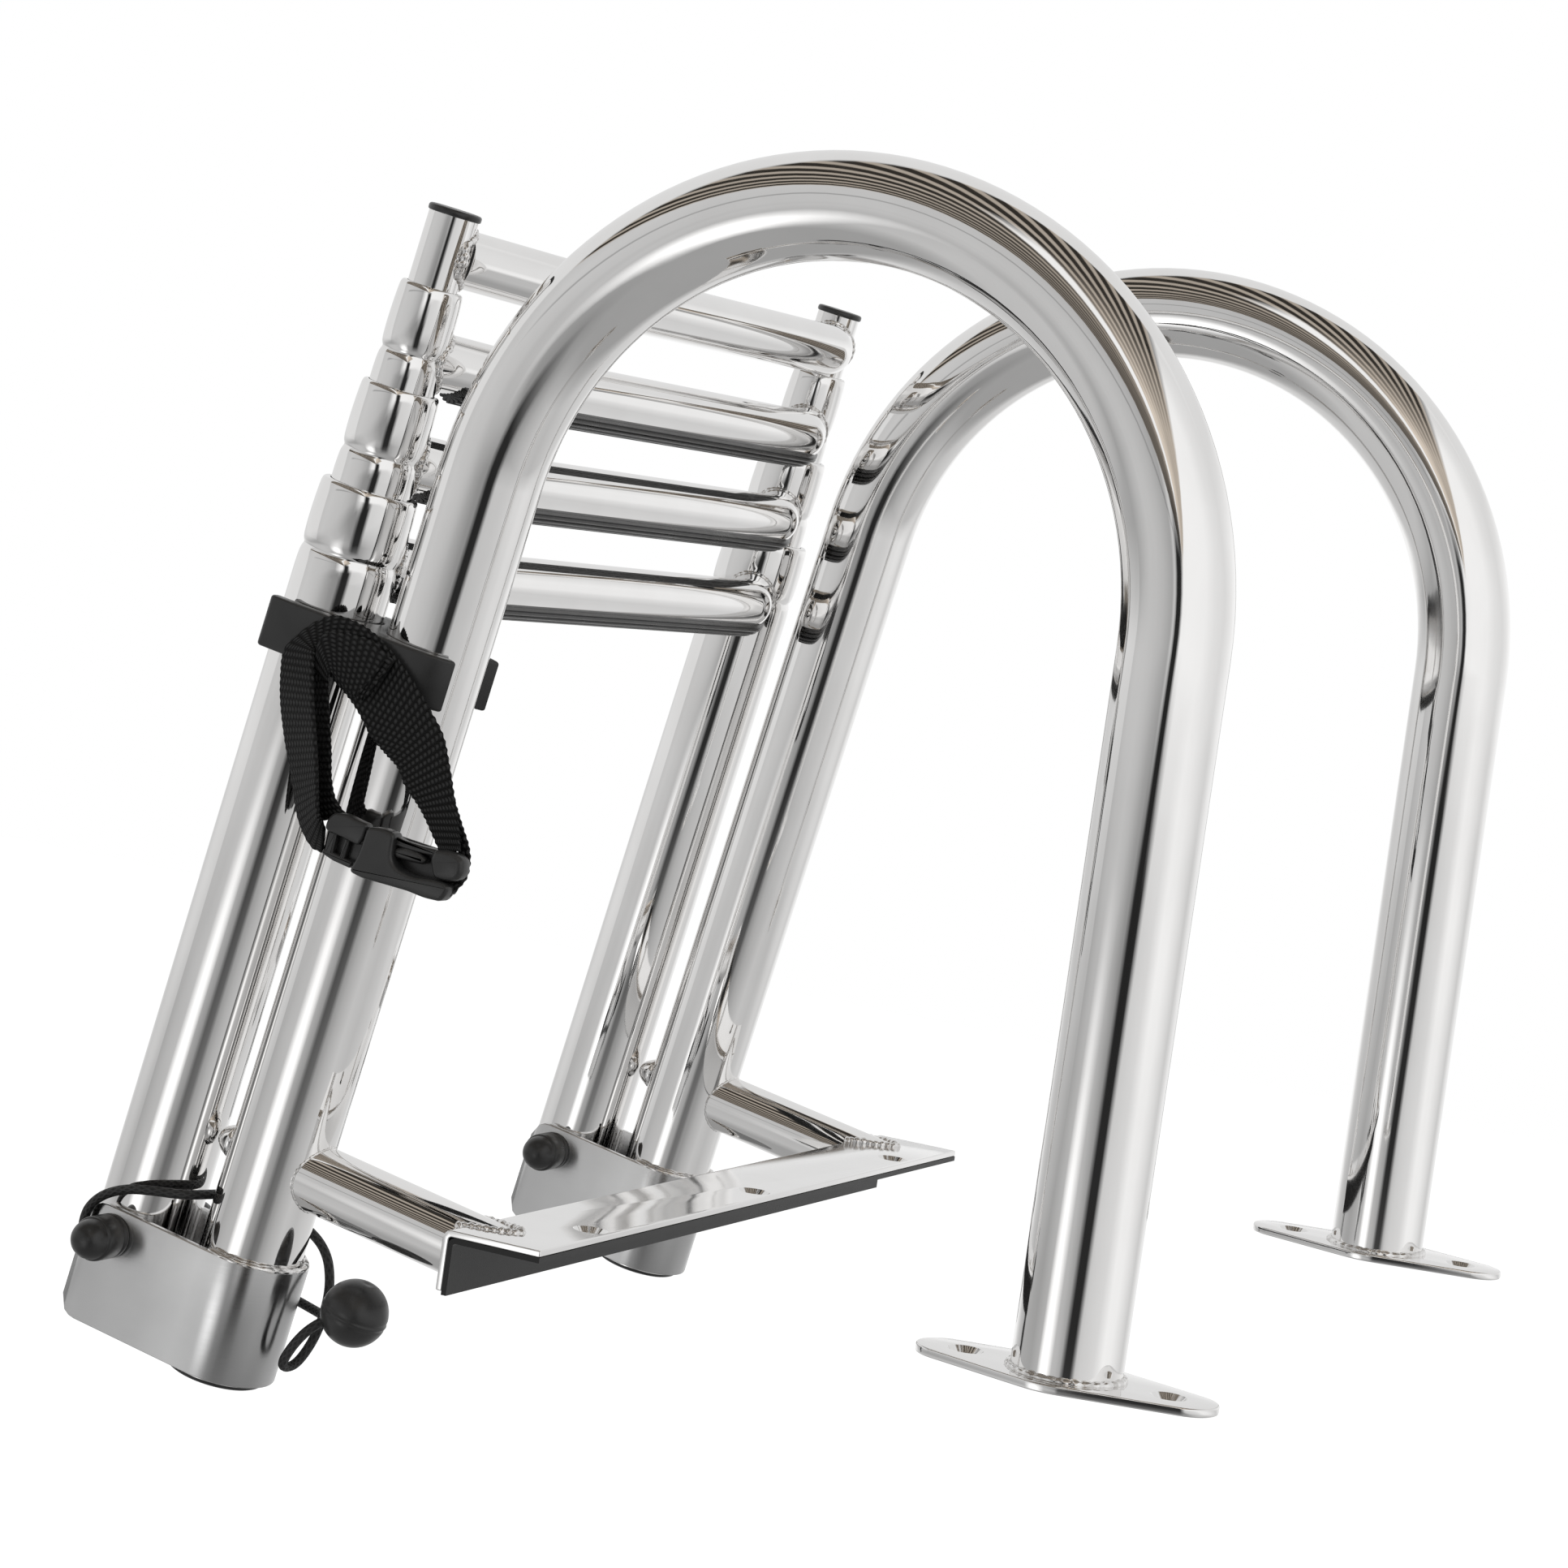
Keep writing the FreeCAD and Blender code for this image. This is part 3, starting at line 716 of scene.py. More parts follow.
COLLAR = (
    (34.0, 0.0), (30.5, 0.1), (28.5, 0.25), (27.3, 0.45), (26.4, 0.75), (25.8, 1.0), (25.4, 1.05), (25.0, 1.0),
    (24.4, 0.7), (23.5, 0.4), (22.0, 0.18), (19.0, 0.05), (16.0, 0.0), (12.0, 0.04), (8.0, 0.14), (4.0, 0.32),
    (1.8, 0.5), (0.8, 0.75), (0.25, 1.05), (0.0, 1.4),
)


def stile_profile(k):
    """Outer skin from the open foot to the lip, then the bore back down."""
    r = STILE_D[k] / 2.0
    inner = r - WALL
    low = -317.0 if k == 0 else lip_up(k) - 311.1
    if k == 3:
        top = rung_up(3) + 14.1
        return [(inner, low + 30), (inner, low), (r - 0.2, low), (r, low + 0.2), (r, low + 60), (r, top),
                (inner, top)]
    top = lip_up(k)
    bore = STILE_D[k + 1] / 2.0 + 0.3
    collar = [(r - inwards, top - below) for below, inwards in COLLAR]
    return ([(inner, low + 60), (inner, low), (r - 0.2, low), (r, low + 0.2), (r, low + 80), (r, low + 160)]
            + collar + [(bore, top), (bore, top - 2.4), (inner, top - 2.4), (inner, top - 30)])


def rung_line(k):
    """Middle line of a rung: straight, then back to the stiles. Across and outboard only."""
    bend = 30.0
    x = LEG_X - RUNG_SLOPE_RUN
    out = STILE_OUT - RUNG_SET_BACK
    corners = ((-LEG_X, STILE_OUT), (-x, out), (x, out), (LEG_X, STILE_OUT))
    ends = [Vector(corner) for corner in corners]
    slope = math.degrees(math.atan2(RUNG_SET_BACK, RUNG_SLOPE_RUN))
    back = bend * math.tan(math.radians(slope / 2.0))
    line = [ends[0].lerp(ends[1], t) for t in (0.12, 0.4, 0.7)]
    line += around((back - x, bend + out), bend, -90.0 - slope, -90.0, 12)
    line += [ends[1].lerp(ends[2], t) for t in (0.25, 0.5, 0.75)]
    line += around((x - back, bend + out), bend, -90.0, slope - 90.0, 12)
    line += [ends[2].lerp(ends[3], t) for t in (0.3, 0.6, 0.88)]
    return [leg_point(point[0], point[1], rung_up(k)) for point in line]


def joint_curve(k, side):
    """Where a rung meets its stile."""
    stile_r = STILE_D[k] / 2.0
    way = Vector((-side * RUNG_SLOPE_RUN, -RUNG_SET_BACK, 0)).normalized()
    across = UP.cross(way)
    path = []
    facing = []
    for turn in circle(48):
        offset = RUNG_R * math.cos(turn)
        along = math.sqrt(max(stile_r ** 2 - offset ** 2, 4.0))
        spot = Vector((side * LEG_X, STILE_OUT, rung_up(k))) + way * along + across * offset
        spot.z += RUNG_R * math.sin(turn)
        out = (across * math.cos(turn) + UP * math.sin(turn) + way * 0.8).normalized()
        path.append(leg_point(*spot))
        facing.append((LEG_FRAME.to_3x3() @ out).normalized())
    return path, facing


def rung_end(k, end):
    """Rings of a rung's coped end from its middle to its rim: they stop inside the stile's wall."""
    way = Vector((RUNG_SLOPE_RUN, RUNG_SET_BACK * end, 0)).normalized()
    across = way.cross(UP)
    rings = []
    for share in (0.02, 0.35, 0.7, 1.0):
        ring = []
        for turn in circle(48):
            offset = RUNG_R * share * math.sin(turn)
            back = math.sqrt((STILE_D[k] / 2.0 - WALL / 2.0) ** 2 - offset ** 2)
            spot = Vector((end * LEG_X, STILE_OUT, rung_up(k) + RUNG_R * share * math.cos(turn)))
            ring.append(leg_point(*(spot - way * back * end + across * offset)))
        rings.append(ring)
    return rings


def rung_rings(k):
    """The slimmest stiles hold no tube, so the top rung runs on into them."""
    if k == 3:
        return round_rings(rung_line(k), RUNG_R, LEG_UP)
    return rung_end(k, -1) + round_rings(rung_line(k)[1:-1], RUNG_R, LEG_UP) + rung_end(k, 1)[::-1]


for k, body in enumerate(SECTIONS):
    for side, word in SIDES:
        place = LEG_FRAME @ Matrix.Translation(Vector((side * LEG_X, STILE_OUT, 0)) * MM)
        stile = lathe(f"stile_tube_{k + 1}_{word}", stile_profile(k), place, tube_steel)
        fitted(stile, body, "polished_steel", f"stile_{k + 1}_{word}")
        path, facing = joint_curve(k, side)
        weld = bead(f"rung_weld_{k + 1}_{word}", path, facing, 1.5 if side < 0 else 0.8, WELD_PITCH, True)
        fitted(weld, body, "polished_steel")
    rung = closed_skin(f"rung_tube_{k + 1}", rung_rings(k), tube_steel)
    fitted(rung, body, "polished_steel", f"rung_{k + 1}")


# Treads

def tread_section():
    """Ribbed rubber on the rung's side that is upwards in use: angle from that side's middle, and radius."""
    half = math.radians(52.0)
    section = [(-half, RUNG_R + 0.1)]
    ribs = 9
    for n in range(ribs):
        start = -half + 2.0 * half * n / ribs
        wide = 2.0 * half / ribs
        tall = 2.1 + 1.0 * math.cos((n - (ribs - 1) / 2.0) * 0.32)
        for share, height in ((0.0, 0.62), (0.10, 0.95), (0.18, 1.0), (0.50, 1.0), (0.58, 0.95), (0.66, 0.62)):
            section.append((start + wide * share, RUNG_R + tall * height))
    section += [(half, RUNG_R + 1.6), (half, RUNG_R + 0.1)]
    return section


def tread(k):
    section = tread_section()
    rings = [[point + (-side * math.cos(turn) + third * math.sin(turn)) * r * MM for turn, r in section]
             for point, way, side, third in frames_along(rung_line(k)[1:-1], LEG_UP)]
    piece = closed_skin(f"tread_sleeve_{k + 1}", rings, black_rubber, 30.0)
    fitted(piece, SECTIONS[k], "black_rubber", f"tread_{k + 1}")


for k in range(3):
    tread(k)


# Caps, heads, plugs and ball

def from_top(profile, tall):
    """Profile whose second numbers count down from the piece's top."""
    return [(r, tall - below) for r, below in profile]


TOP_CAP = ((0.0, 15.0), (7.8, 15.0), (7.8, 2.6), (9.3, 2.6), (9.75, 2.4), (9.9, 1.9), (9.9, 0.95), (9.7, 0.45),
           (9.2, 0.12), (8.4, 0.0), (4.0, -0.05), (0.0, -0.06))
BOLT_CAP = ((0.0, 19.8), (5.2, 20.0), (7.6, 20.1), (8.0, 19.8), (8.2, 19.3), (8.2, 17.6), (8.0, 17.2), (8.0, 16.7),
            (8.25, 16.3), (8.25, 9.2), (8.15, 8.3), (7.9, 7.8), (7.6, 7.65), (7.45, 7.4), (7.4, 6.9), (7.3, 6.2),
            (6.95, 4.8), (6.3, 3.4), (5.3, 2.1), (4.1, 1.1), (2.7, 0.42), (1.2, 0.08), (0.0, 0.0))
LEG_PLUG = ((0.0, 2.0), (15.0, 2.0), (17.4, 1.8), (18.3, 1.3), (18.6, 0.5), (18.6, 0.0), (17.4, -0.05),
            (17.4, -12.0), (0.0, -12.0))
BUMPER = ((0.0, -0.6), (6.2, -0.6), (6.5, -0.1), (6.6, 0.5), (6.6, 1.0), (6.45, 1.35), (6.0, 2.3), (5.3, 3.7),
          (4.4, 5.1), (3.3, 6.2), (2.1, 6.95), (1.0, 7.3), (0.0, 7.4))
CHEEK = LEG_R + 0.05  # from the middle of the leg to the bracket's inner face

for side, word in SIDES:
    x = side * LEG_X
    cap = lathe(f"top_cap_disc_{word}", from_top(TOP_CAP, 0.0), on_leg(x, STILE_OUT, rung_up(3) + 16.7),
                black_plastic, 48)
    fitted(cap, "section_4", "black_plastic", f"top_cap_{word}")
    plug = lathe(f"leg_plug_disc_{word}", LEG_PLUG, on_leg(x, 0, -343.0, 180.0, "X"), black_plastic, 64)
    fitted(plug, "handrails", "black_plastic", f"leg_plug_{word}")
    for way, where in ((side, "outer"), (-side, "inner")):
        place = on_leg(x + way * (CHEEK + SHEET), STILE_OUT, PIVOT, 90.0 * way, "Y")
        cap = lathe(f"cap_{word}_{where}", from_top(BOLT_CAP, 20.2), place, black_rubber, 48)
        fitted(cap, "handrails", "black_rubber", f"bolt_cap_{word}_{where}")
    bumper = lathe(f"bumper_head_{word}", BUMPER, on_leg(x, LEG_R, STUB, -90.0, "X"), tube_steel, 40, 50.0)
    fitted(bumper, "handrails", "bumper_steel", f"bumper_{word}")


def ball_profile():
    """Moulded ball: a fine parting ridge at its middle and a dimple at each pole."""
    profile = []
    for n in range(121):
        turn = -math.pi / 2.0 + math.pi * n / 120
        r = 12.4 - 0.5 * math.exp(-((abs(turn) - math.pi / 2.0) / 0.16) ** 2)
        r += 0.16 * math.exp(-(turn / 0.03) ** 2) - 0.16 * math.exp(-((abs(turn) - 0.09) / 0.04) ** 2)
        profile.append((max(r * math.cos(turn), 0.0), r * math.sin(turn)))
    return profile


ball = lathe("cord_ball_moulded", ball_profile(), on_leg(*BALL, 8.0, "X"), black_plastic, 64, 60.0)
fitted(ball, "handrails", "black_plastic", "cord_ball")


# Pivot brackets

BRACKET_TOP = 10.2


def bracket(side, word):
    """Folded sheet round the leg: rings across the sheet along its U, rounded at the outboard corners."""
    x = side * LEG_X
    reach = STILE_OUT + 12.4
    corner = 7.0
    track = [(CHEEK, reach - n * reach / 24.0, 1.0, 0.0) for n in range(25)]
    for n in range(1, 48):
        turn = math.pi * n / 48
        track.append((CHEEK * math.cos(turn), -CHEEK * math.sin(turn), math.cos(turn), -math.sin(turn)))
    track += [(-CHEEK, n * reach / 24.0, -1.0, 0.0) for n in range(25)]
    rim = ((0.0, 0.5), (0.15, 0.15), (0.5, 0.0), (SHEET - 0.5, 0.0), (SHEET - 0.15, 0.15), (SHEET, 0.5))
    rings = []
    for across, out, nx, ne in track:
        short = max(0.0, corner - (reach - out)) if out > 0 else 0.0
        trim = corner - math.sqrt(max(corner ** 2 - short ** 2, 0.0))
        high = PIVOT + BRACKET_TOP - trim
        low = PIVOT - 35.0 + trim
        rings.append([leg_point(x + across + nx * step, out + ne * step, level) for step, level in
                      [(step, high - level) for step, level in rim]
                      + [(step, low + level) for step, level in reversed(rim)]])
    piece = closed_skin(f"bracket_sheet_{word}", rings, bracket_steel, 50.0)
    fitted(piece, "handrails", "polished_steel", f"pivot_bracket_{word}")
    path = []
    facing = []
    for n in range(33):
        turn = math.radians(-196.0 + 212.0 * n / 32)
        out = Vector((math.cos(turn), math.sin(turn), 0))
        path.append(leg_point(x + out.x * (LEG_R + 1.6), out.y * (LEG_R + 1.6), PIVOT + BRACKET_TOP - 0.2))
        facing.append((LEG_FRAME.to_3x3() @ (out * 0.4 + UP)).normalized())
    fitted(bead(f"bracket_weld_{word}", path, facing, 1.35, 7.0, False), "handrails", "polished_steel")


for side, word in SIDES:
    bracket(side, word)


# Mounting angle, pad and flanges

def hole_tool(place, profile):
    return lathe("tool", profile, place, plate_steel, 40)


def angle_sheet():
    """Section in outboard and up, pulled along X, with three countersunk holes."""
    across = Matrix.Rotation(math.radians(90), 4, "Z") @ Matrix.Rotation(math.radians(90), 4, "X")
    section = [(-16.6, ANGLE_TOP), (-17.0, 4.1), (-17.0, 2.4), (-16.6, 2.0)]
    section += [(18.5 + math.sin(a), 1.0 + math.cos(a)) for a in (0.0, 0.4, 0.8, 1.2, 1.57)]
    section += [(19.5, -17.1), (19.9, -17.5), (21.6, -17.5), (ANGLE_FACE, -17.1)]
    section += around((18.5, 1.0), 3.5, 0.0, 90.0, 8)
    piece = moulding("angle_sheet", section, -196.0, 196.0, 0.5, across, plate_steel)
    sink = [(0.0, -3.0), (3.5, -3.0), (3.5, 2.1), (6.5, 5.1), (6.7, 6.5), (0.0, 6.5)]
    places = [Vector((x, -9.0, -0.6)) * MM for x in (-HOLE_PITCH, 0.0, HOLE_PITCH)]
    tools = [hole_tool(Matrix.Translation(spot), sink) for spot in places]
    fitted(drilled(piece, tools), "handrails", "polished_steel", "mounting_angle")


angle_sheet()


def flange(side, word):
    """Oval foot: straight flanks between round ends and a round middle, two countersunk holes."""
    foot = foot_spot(side)[0]
    end_r = 13.0
    middle_r = 25.0
    reach = 106.5 / 2.0 - end_r
    turn = math.acos((middle_r - end_r) / reach)
    outline = []
    for along in (1.0, -1.0):
        for n in range(17):
            a = -turn + 2.0 * turn * n / 16
            outline.append((-end_r * math.sin(a) * along, (reach + end_r * math.cos(a)) * along))
        for n in range(1, 12):
            a = turn + (math.pi - 2.0 * turn) * n / 12
            outline.append((-middle_r * math.sin(a) * along, middle_r * math.cos(a) * along))
    place = Matrix.Translation(Vector((foot.x, foot.y, 0)))
    piece = moulding(f"flange_plate_{word}", outline, 0.0, FLANGE, 0.6, place, plate_steel)
    sink = [(0.0, -2.0), (3.3, -2.0), (3.3, 0.9), (6.2, 3.8), (6.4, 5.0), (0.0, 5.0)]
    tools = [hole_tool(place @ Matrix.Translation(Vector((0, y, -0.8)) * MM), sink) for y in (-36.2, 36.2)]
    fitted(drilled(piece, tools), "handrails", "polished_steel", f"deck_flange_{word}")


for side, word in SIDES:
    flange(side, word)


# Stile clip

def clip_outline():
    """Double clip seen along the leg: across and outboard, from the leg's middle."""
    grip = CHEEK
    out = grip + 5.9
    jaw = STILE_D[0] / 2.0 + 0.5
    tip = STILE_OUT + 13.0
    inner_lip = 52.0
    outer_lip = 44.0
    outline = around((0.0, 0.0), out, -90.0 + inner_lip, 0.0, 14)
    outline += [(out, 20.0), (out, 40.0)] + around((out - 2.4, tip - 2.4), 2.4, 0.0, 90.0, 5)
    outline += [(jaw + 1.2, tip), (jaw, tip - 1.2)]
    outline += around((0.0, STILE_OUT), jaw, 0.0, -180.0, 24)
    outline += [(-jaw, tip - 1.2), (-jaw - 1.2, tip)] + around((-out + 2.4, tip - 2.4), 2.4, 90.0, 180.0, 5)
    outline += [(-out, 40.0), (-out, 20.0)]
    outline += around((0.0, 0.0), out, 180.0, 270.0 - outer_lip, 14)
    outline += around((0.0, 0.0), grip, 268.0 - outer_lip, -88.0 + inner_lip, 40)
    return outline


clip = moulding("clip_body", clip_outline(), -9.5, 9.5, 1.1, on_leg(-LEG_X, 0, CLIP), black_plastic)
fitted(clip, "handrails", "black_plastic", "stile_clip")


# Strap and buckle

def webbing(name, left, right, thick=1.5):
    """Woven band between two edge lines (across, outboard, up): ribs across it and looped edges."""
    left = [leg_point(*point) for point in smooth(left, 8, False)]
    right = [leg_point(*point) for point in smooth(right, 8, False)]
    middle = [(a + b) / 2.0 for a, b in zip(left, right)]
    lengths = [0.0]
    for k in range(1, len(middle)):
        lengths.append(lengths[-1] + (middle[k] - middle[k - 1]).length)
    count = round(lengths[-1] / (0.44 * MM))
    rings = []
    k = 0
    for n in range(count + 1):
        target = lengths[-1] * n / count
        while k < len(lengths) - 2 and lengths[k + 1] < target:
            k += 1
        share = (target - lengths[k]) / (lengths[k + 1] - lengths[k])
        a = left[k].lerp(left[k + 1], share)
        b = right[k].lerp(right[k + 1], share)
        way = b - a
        normal = way.cross(middle[k + 1] - middle[k]).normalized() * thick / 2.0 * MM
        rib = math.sin(2.0 * math.pi * target / (RIB * MM))
        loop = way.normalized() * 0.22 * MM * rib
        ring = []
        for side in (1.0, -1.0):
            half = []
            for step in range(21):
                across = step / 20
                edge = min(across, 1.0 - across) * way.length / (0.9 * MM)
                swell = math.sqrt(max(0.0, 1.0 - (1.0 - min(edge, 1.0)) ** 2))
                half.append(a - loop + (way + loop * 2.0) * across + normal * swell * side)
            ring += half[:-1] if side > 0 else half[::-1][:-1]
        rings.append(ring)
    return closed_skin(name, rings, black_webbing, 70.0)


STRAP_OUTER = (
    (-205.0, 4.0, -143.0), (-202.0, 10.0, -143.5), (-200.0, 16.5, -140.0), (-199.5, 22.0, -134.0),
    (-199.5, 28.5, -122.5), (-199.5, 35.5, -111.0), (-200.5, 41.0, -99.0), (-201.5, 44.0, -88.5),
    (-202.0, 45.0, -80.5), (-202.4, 41.0, -73.0), (-202.4, 35.0, -66.0), (-202.3, 28.5, -62.0),
    (-202.3, 20.0, -61.5), (-202.3, 11.5, -63.0), (-202.3, 2.0, -67.0), (-202.3, -7.0, -72.5),
    (-202.5, -17.5, -80.0), (-203.0, -27.0, -87.5), (-203.5, -33.0, -96.0), (-204.0, -39.0, -106.0),
    (-205.0, -44.0, -113.5), (-206.0, -49.0, -123.5),
)
STRAP_INNER = (
    (-206.0, 5.5, -134.0), (-208.5, 6.0, -131.5), (-210.0, 7.0, -129.5), (-210.5, 9.0, -124.0),
    (-211.0, 12.0, -115.0), (-211.0, 16.5, -104.0), (-210.5, 21.5, -93.5), (-209.0, 26.0, -84.5),
    (-207.0, 29.5, -77.5), (-205.0, 30.0, -76.5), (-204.0, 28.5, -78.5), (-203.6, 25.0, -81.0),
    (-203.6, 21.0, -84.0), (-203.6, 15.5, -86.5), (-203.8, 8.0, -91.0), (-204.0, 0.0, -97.5),
    (-204.4, -8.0, -101.5), (-204.6, -14.5, -104.5), (-204.8, -19.5, -109.5), (-205.0, -26.5, -114.0),
    (-205.0, -31.5, -118.0), (-206.0, -40.5, -126.0),
)
strap_outer = webbing("strap_webbing", STRAP_OUTER, STRAP_INNER)
strap_tail = webbing(
    "strap_tail",
    ((-200.5, 36.5, -76.0), (-200.5, 32.5, -87.0), (-200.0, 28.0, -99.0), (-200.0, 23.5, -111.5),
     (-200.0, 19.5, -121.0), (-200.5, 15.0, -128.5), (-201.0, 10.5, -133.5)),
    ((-203.5, 27.5, -74.5), (-203.5, 23.5, -84.0), (-203.5, 18.5, -96.0), (-203.5, 13.5, -108.0),
     (-203.5, 10.0, -117.5), (-203.5, 5.5, -124.0), (-203.5, -1.0, -127.5)))
strap_fold = webbing(
    "strap_fold",
    ((-205.0, 29.5, -82.0), (-205.8, 30.0, -77.0), (-206.0, 30.0, -72.0), (-205.6, 28.0, -68.5),
     (-205.4, 22.0, -66.5), (-205.2, 15.5, -65.5), (-205.2, 9.0, -65.5), (-205.0, 4.0, -67.5), (-204.8, -1.0, -69.5)),
    ((-204.8, 22.5, -85.0), (-205.2, 22.5, -83.0), (-205.4, 22.0, -81.5), (-205.2, 20.5, -82.0),
     (-205.2, 17.5, -83.5), (-205.2, 13.5, -85.5), (-205.2, 9.5, -86.5), (-205.2, 7.0, -86.5), (-205.0, 5.5, -85.5)))
strap_loop = webbing(
    "strap_loop",
    ((-202.5, -39.0, -108.0), (-202.5, -45.0, -115.5), (-202.5, -49.5, -121.0), (-202.5, -52.0, -126.0),
     (-203.0, -53.0, -131.5), (-204.0, -52.0, -135.5), (-205.0, -50.0, -139.5), (-206.0, -46.5, -143.0)),
    ((-202.0, -34.5, -110.5), (-202.0, -41.0, -118.0), (-202.0, -45.5, -123.5), (-202.5, -48.0, -128.0),
     (-203.0, -48.5, -132.5), (-204.0, -47.5, -136.0), (-205.0, -46.5, -138.5), (-206.0, -44.0, -141.0)))
fitted(strap_outer, "handrails", "black_webbing", "strap")
for band in (strap_tail, strap_fold, strap_loop):
    fitted(band, "handrails", "black_webbing")
for n, shift in enumerate((0.6, 3.4)):
    ends = (leg_point(-206.0, -1.0 + shift, -70.8), leg_point(-206.0, 5.0 + shift, -85.0))
    path = [ends[0].lerp(ends[1], step / 8) for step in range(9)]
    fitted(bead(f"strap_stitches_{n + 1}", path, [Vector((-1, 0, 0))] * 9, 0.5, 1.9, False, black_webbing),
           "handrails", "black_webbing")

# The buckle lies in a plane beside the legs: its outlines are outboard and up from the clip,
# and its levels count away from the legs
BUCKLE = on_leg(-200.0, 0.0, CLIP) @ Matrix(((0, 0, -1, 0), (-1, 0, 0, 0), (0, 1, 0, 0), (0, 0, 0, 1)))


def buckle_part(name, corners, radius, low, high, edge=1.2, *replaced):
    """Moulded part of the buckle."""
    outline = [(-out, up) for out, up in rounded(corners, radius)]
    fitted(moulding(name, outline, low, high, edge, BUCKLE, black_plastic), "handrails", "black_plastic", *replaced)


buckle_part("buckle_socket",
            ((-12.0, -66.0), (-12.5, -60.5), (-12.5, -54.0), (-18.5, -52.5), (-24.0, -52.5), (-24.5, -57.0),
             (-25.5, -61.5), (-28.5, -64.0), (-35.0, -64.5), (-43.0, -62.5), (-48.0, -62.0), (-50.5, -63.0),
             (-50.0, -66.5), (-48.5, -69.0), (-42.0, -70.0), (-35.0, -70.0), (-25.0, -71.0), (-16.5, -72.0),
             (-10.5, -71.5)), 2.0, 2.5, 10.0, 1.6, "strap_buckle")
buckle_part("buckle_back", ((-20.0, -54.0), (-46.0, -52.5), (-51.5, -58.0), (-50.0, -66.5), (-24.0, -66.0)), 1.5,
            1.8, 3.6, 0.5)
buckle_part("buckle_rail", ((-21.5, -53.5), (-27.0, -54.0), (-34.0, -53.5), (-42.0, -52.5), (-42.0, -55.0),
                            (-33.0, -56.3), (-27.5, -56.8), (-22.5, -57.0)), 0.8, 3.0, 7.5, 1.0)
buckle_part("buckle_prong", ((-24.0, -58.0), (-28.5, -56.0), (-34.5, -56.0), (-38.0, -57.5), (-37.0, -59.5),
                             (-30.5, -60.5), (-25.0, -61.0)), 1.8, 3.0, 8.0, 1.6)
buckle_part("buckle_end", ((-40.5, -52.5), (-45.0, -51.0), (-50.5, -51.0), (-53.0, -52.5), (-54.0, -57.0),
                           (-52.5, -60.0), (-48.5, -61.5), (-43.5, -62.0), (-41.5, -59.0), (-40.0, -56.0)),
            2.0, 3.0, 10.4, 2.2)
buckle_part("buckle_plug", ((4.5, -61.0), (4.5, -57.0), (2.5, -54.0), (-2.0, -53.0), (-7.5, -53.5), (-11.8, -53.5),
                            (-11.8, -59.0), (-10.5, -62.0), (-4.5, -61.5)), 1.6, 2.8, 8.4, 1.3)
buckle_part("buckle_plug_web", ((5.0, -61.0), (4.5, -69.5), (0.0, -70.0), (-8.0, -70.0), (-12.0, -66.0),
                                (-11.5, -60.0)), 0.8, 2.2, 4.4, 0.6)
buckle_part("buckle_plug_bar", ((2.8, -60.5), (2.2, -69.0), (-1.2, -69.0), (-0.6, -60.5)), 0.7, 3.0, 7.4, 0.8)
buckle_part("buckle_plug_rib", ((-4.0, -61.0), (-4.0, -69.5), (-6.2, -69.5), (-6.2, -61.0)), 0.7, 3.0, 7.2, 0.8)
buckle_part("buckle_plug_foot", ((3.0, -67.6), (3.2, -69.6), (-2.0, -70.6), (-9.5, -70.8), (-10.0, -68.4)), 0.7,
            3.0, 7.4, 0.8)


# Remaining CAD nodes

for name, node in nodes.items():
    node.data.materials.clear()
    soft = pad_rubber if name == "mounting_pad" else black_plastic if name.startswith("guides") else None
    node.data.materials.append(soft or plate_steel)

for run in (cord, cord_return):
    run.data.materials.append(black_braid)
leg_point(*CORD_ROUTE[0])
leg_point(*RETURN_ROUTE[-1])


# Floor, world and lamps

def floor():
    """Pale floor: white to the camera where the light reaches it, a little darker in the shadow."""
    points = [(x * 9.0, y * 9.0, FLOOR_Z) for x, y in ((-1, -1), (1, -1), (1, 1), (-1, 1))]
    material = bpy.data.materials.new("pale_floor")
    wire = emptied(material)
    seen = wire.node("LightPath", out="Is Camera Ray")
    matt = wire.node("BsdfDiffuse", None, {"Color": grey(0.8)})
    glow = wire.node("Emission", None, {"Color": grey(1.0), "Strength": seen * 0.66})
    output(wire.node("AddShader", None, {0: matt, 1: glow}))
    piece = add_piece("floor", points, [(0, 1, 2, 3)], None, material)
    piece.visible_glossy = False


floor()


# The room's walls as the steel shows them: degrees from the east through north, and screen brightness
LOW_PANELS = (
    (24, 0.95), (45, 0.75), (60, 0.66), (97, 0.62), (120, 0.7), (140, 0.74), (155, 0.7), (166, 0.62), (173, 0.56),
    (184, 0.53), (194, 0.76), (203, 0.8), (230, 0.84), (250, 0.94), (268, 0.93), (290, 0.86), (308, 0.79),
    (330, 0.9), (384, 0.95),
)
HIGH_PANELS = (
    (24, 0.95), (45, 0.75), (60, 0.66), (83, 0.73), (125, 0.77), (155, 0.74), (168, 0.71), (186, 0.63),
    (197, 0.93), (217, 0.98), (236, 0.94), (256, 0.93), (278, 0.88), (305, 0.85), (322, 0.89), (346, 1.0),
    (384, 0.95),
)
FLOOR_PANELS = (
    (24, 0.85), (45, 0.79), (70, 0.75), (95, 0.73), (130, 0.74), (160, 0.7), (180, 0.6), (198, 0.54),
    (222, 0.57), (238, 0.67), (262, 0.75), (290, 0.72), (320, 0.77), (384, 0.85),
)
PANELS_START = 24.0

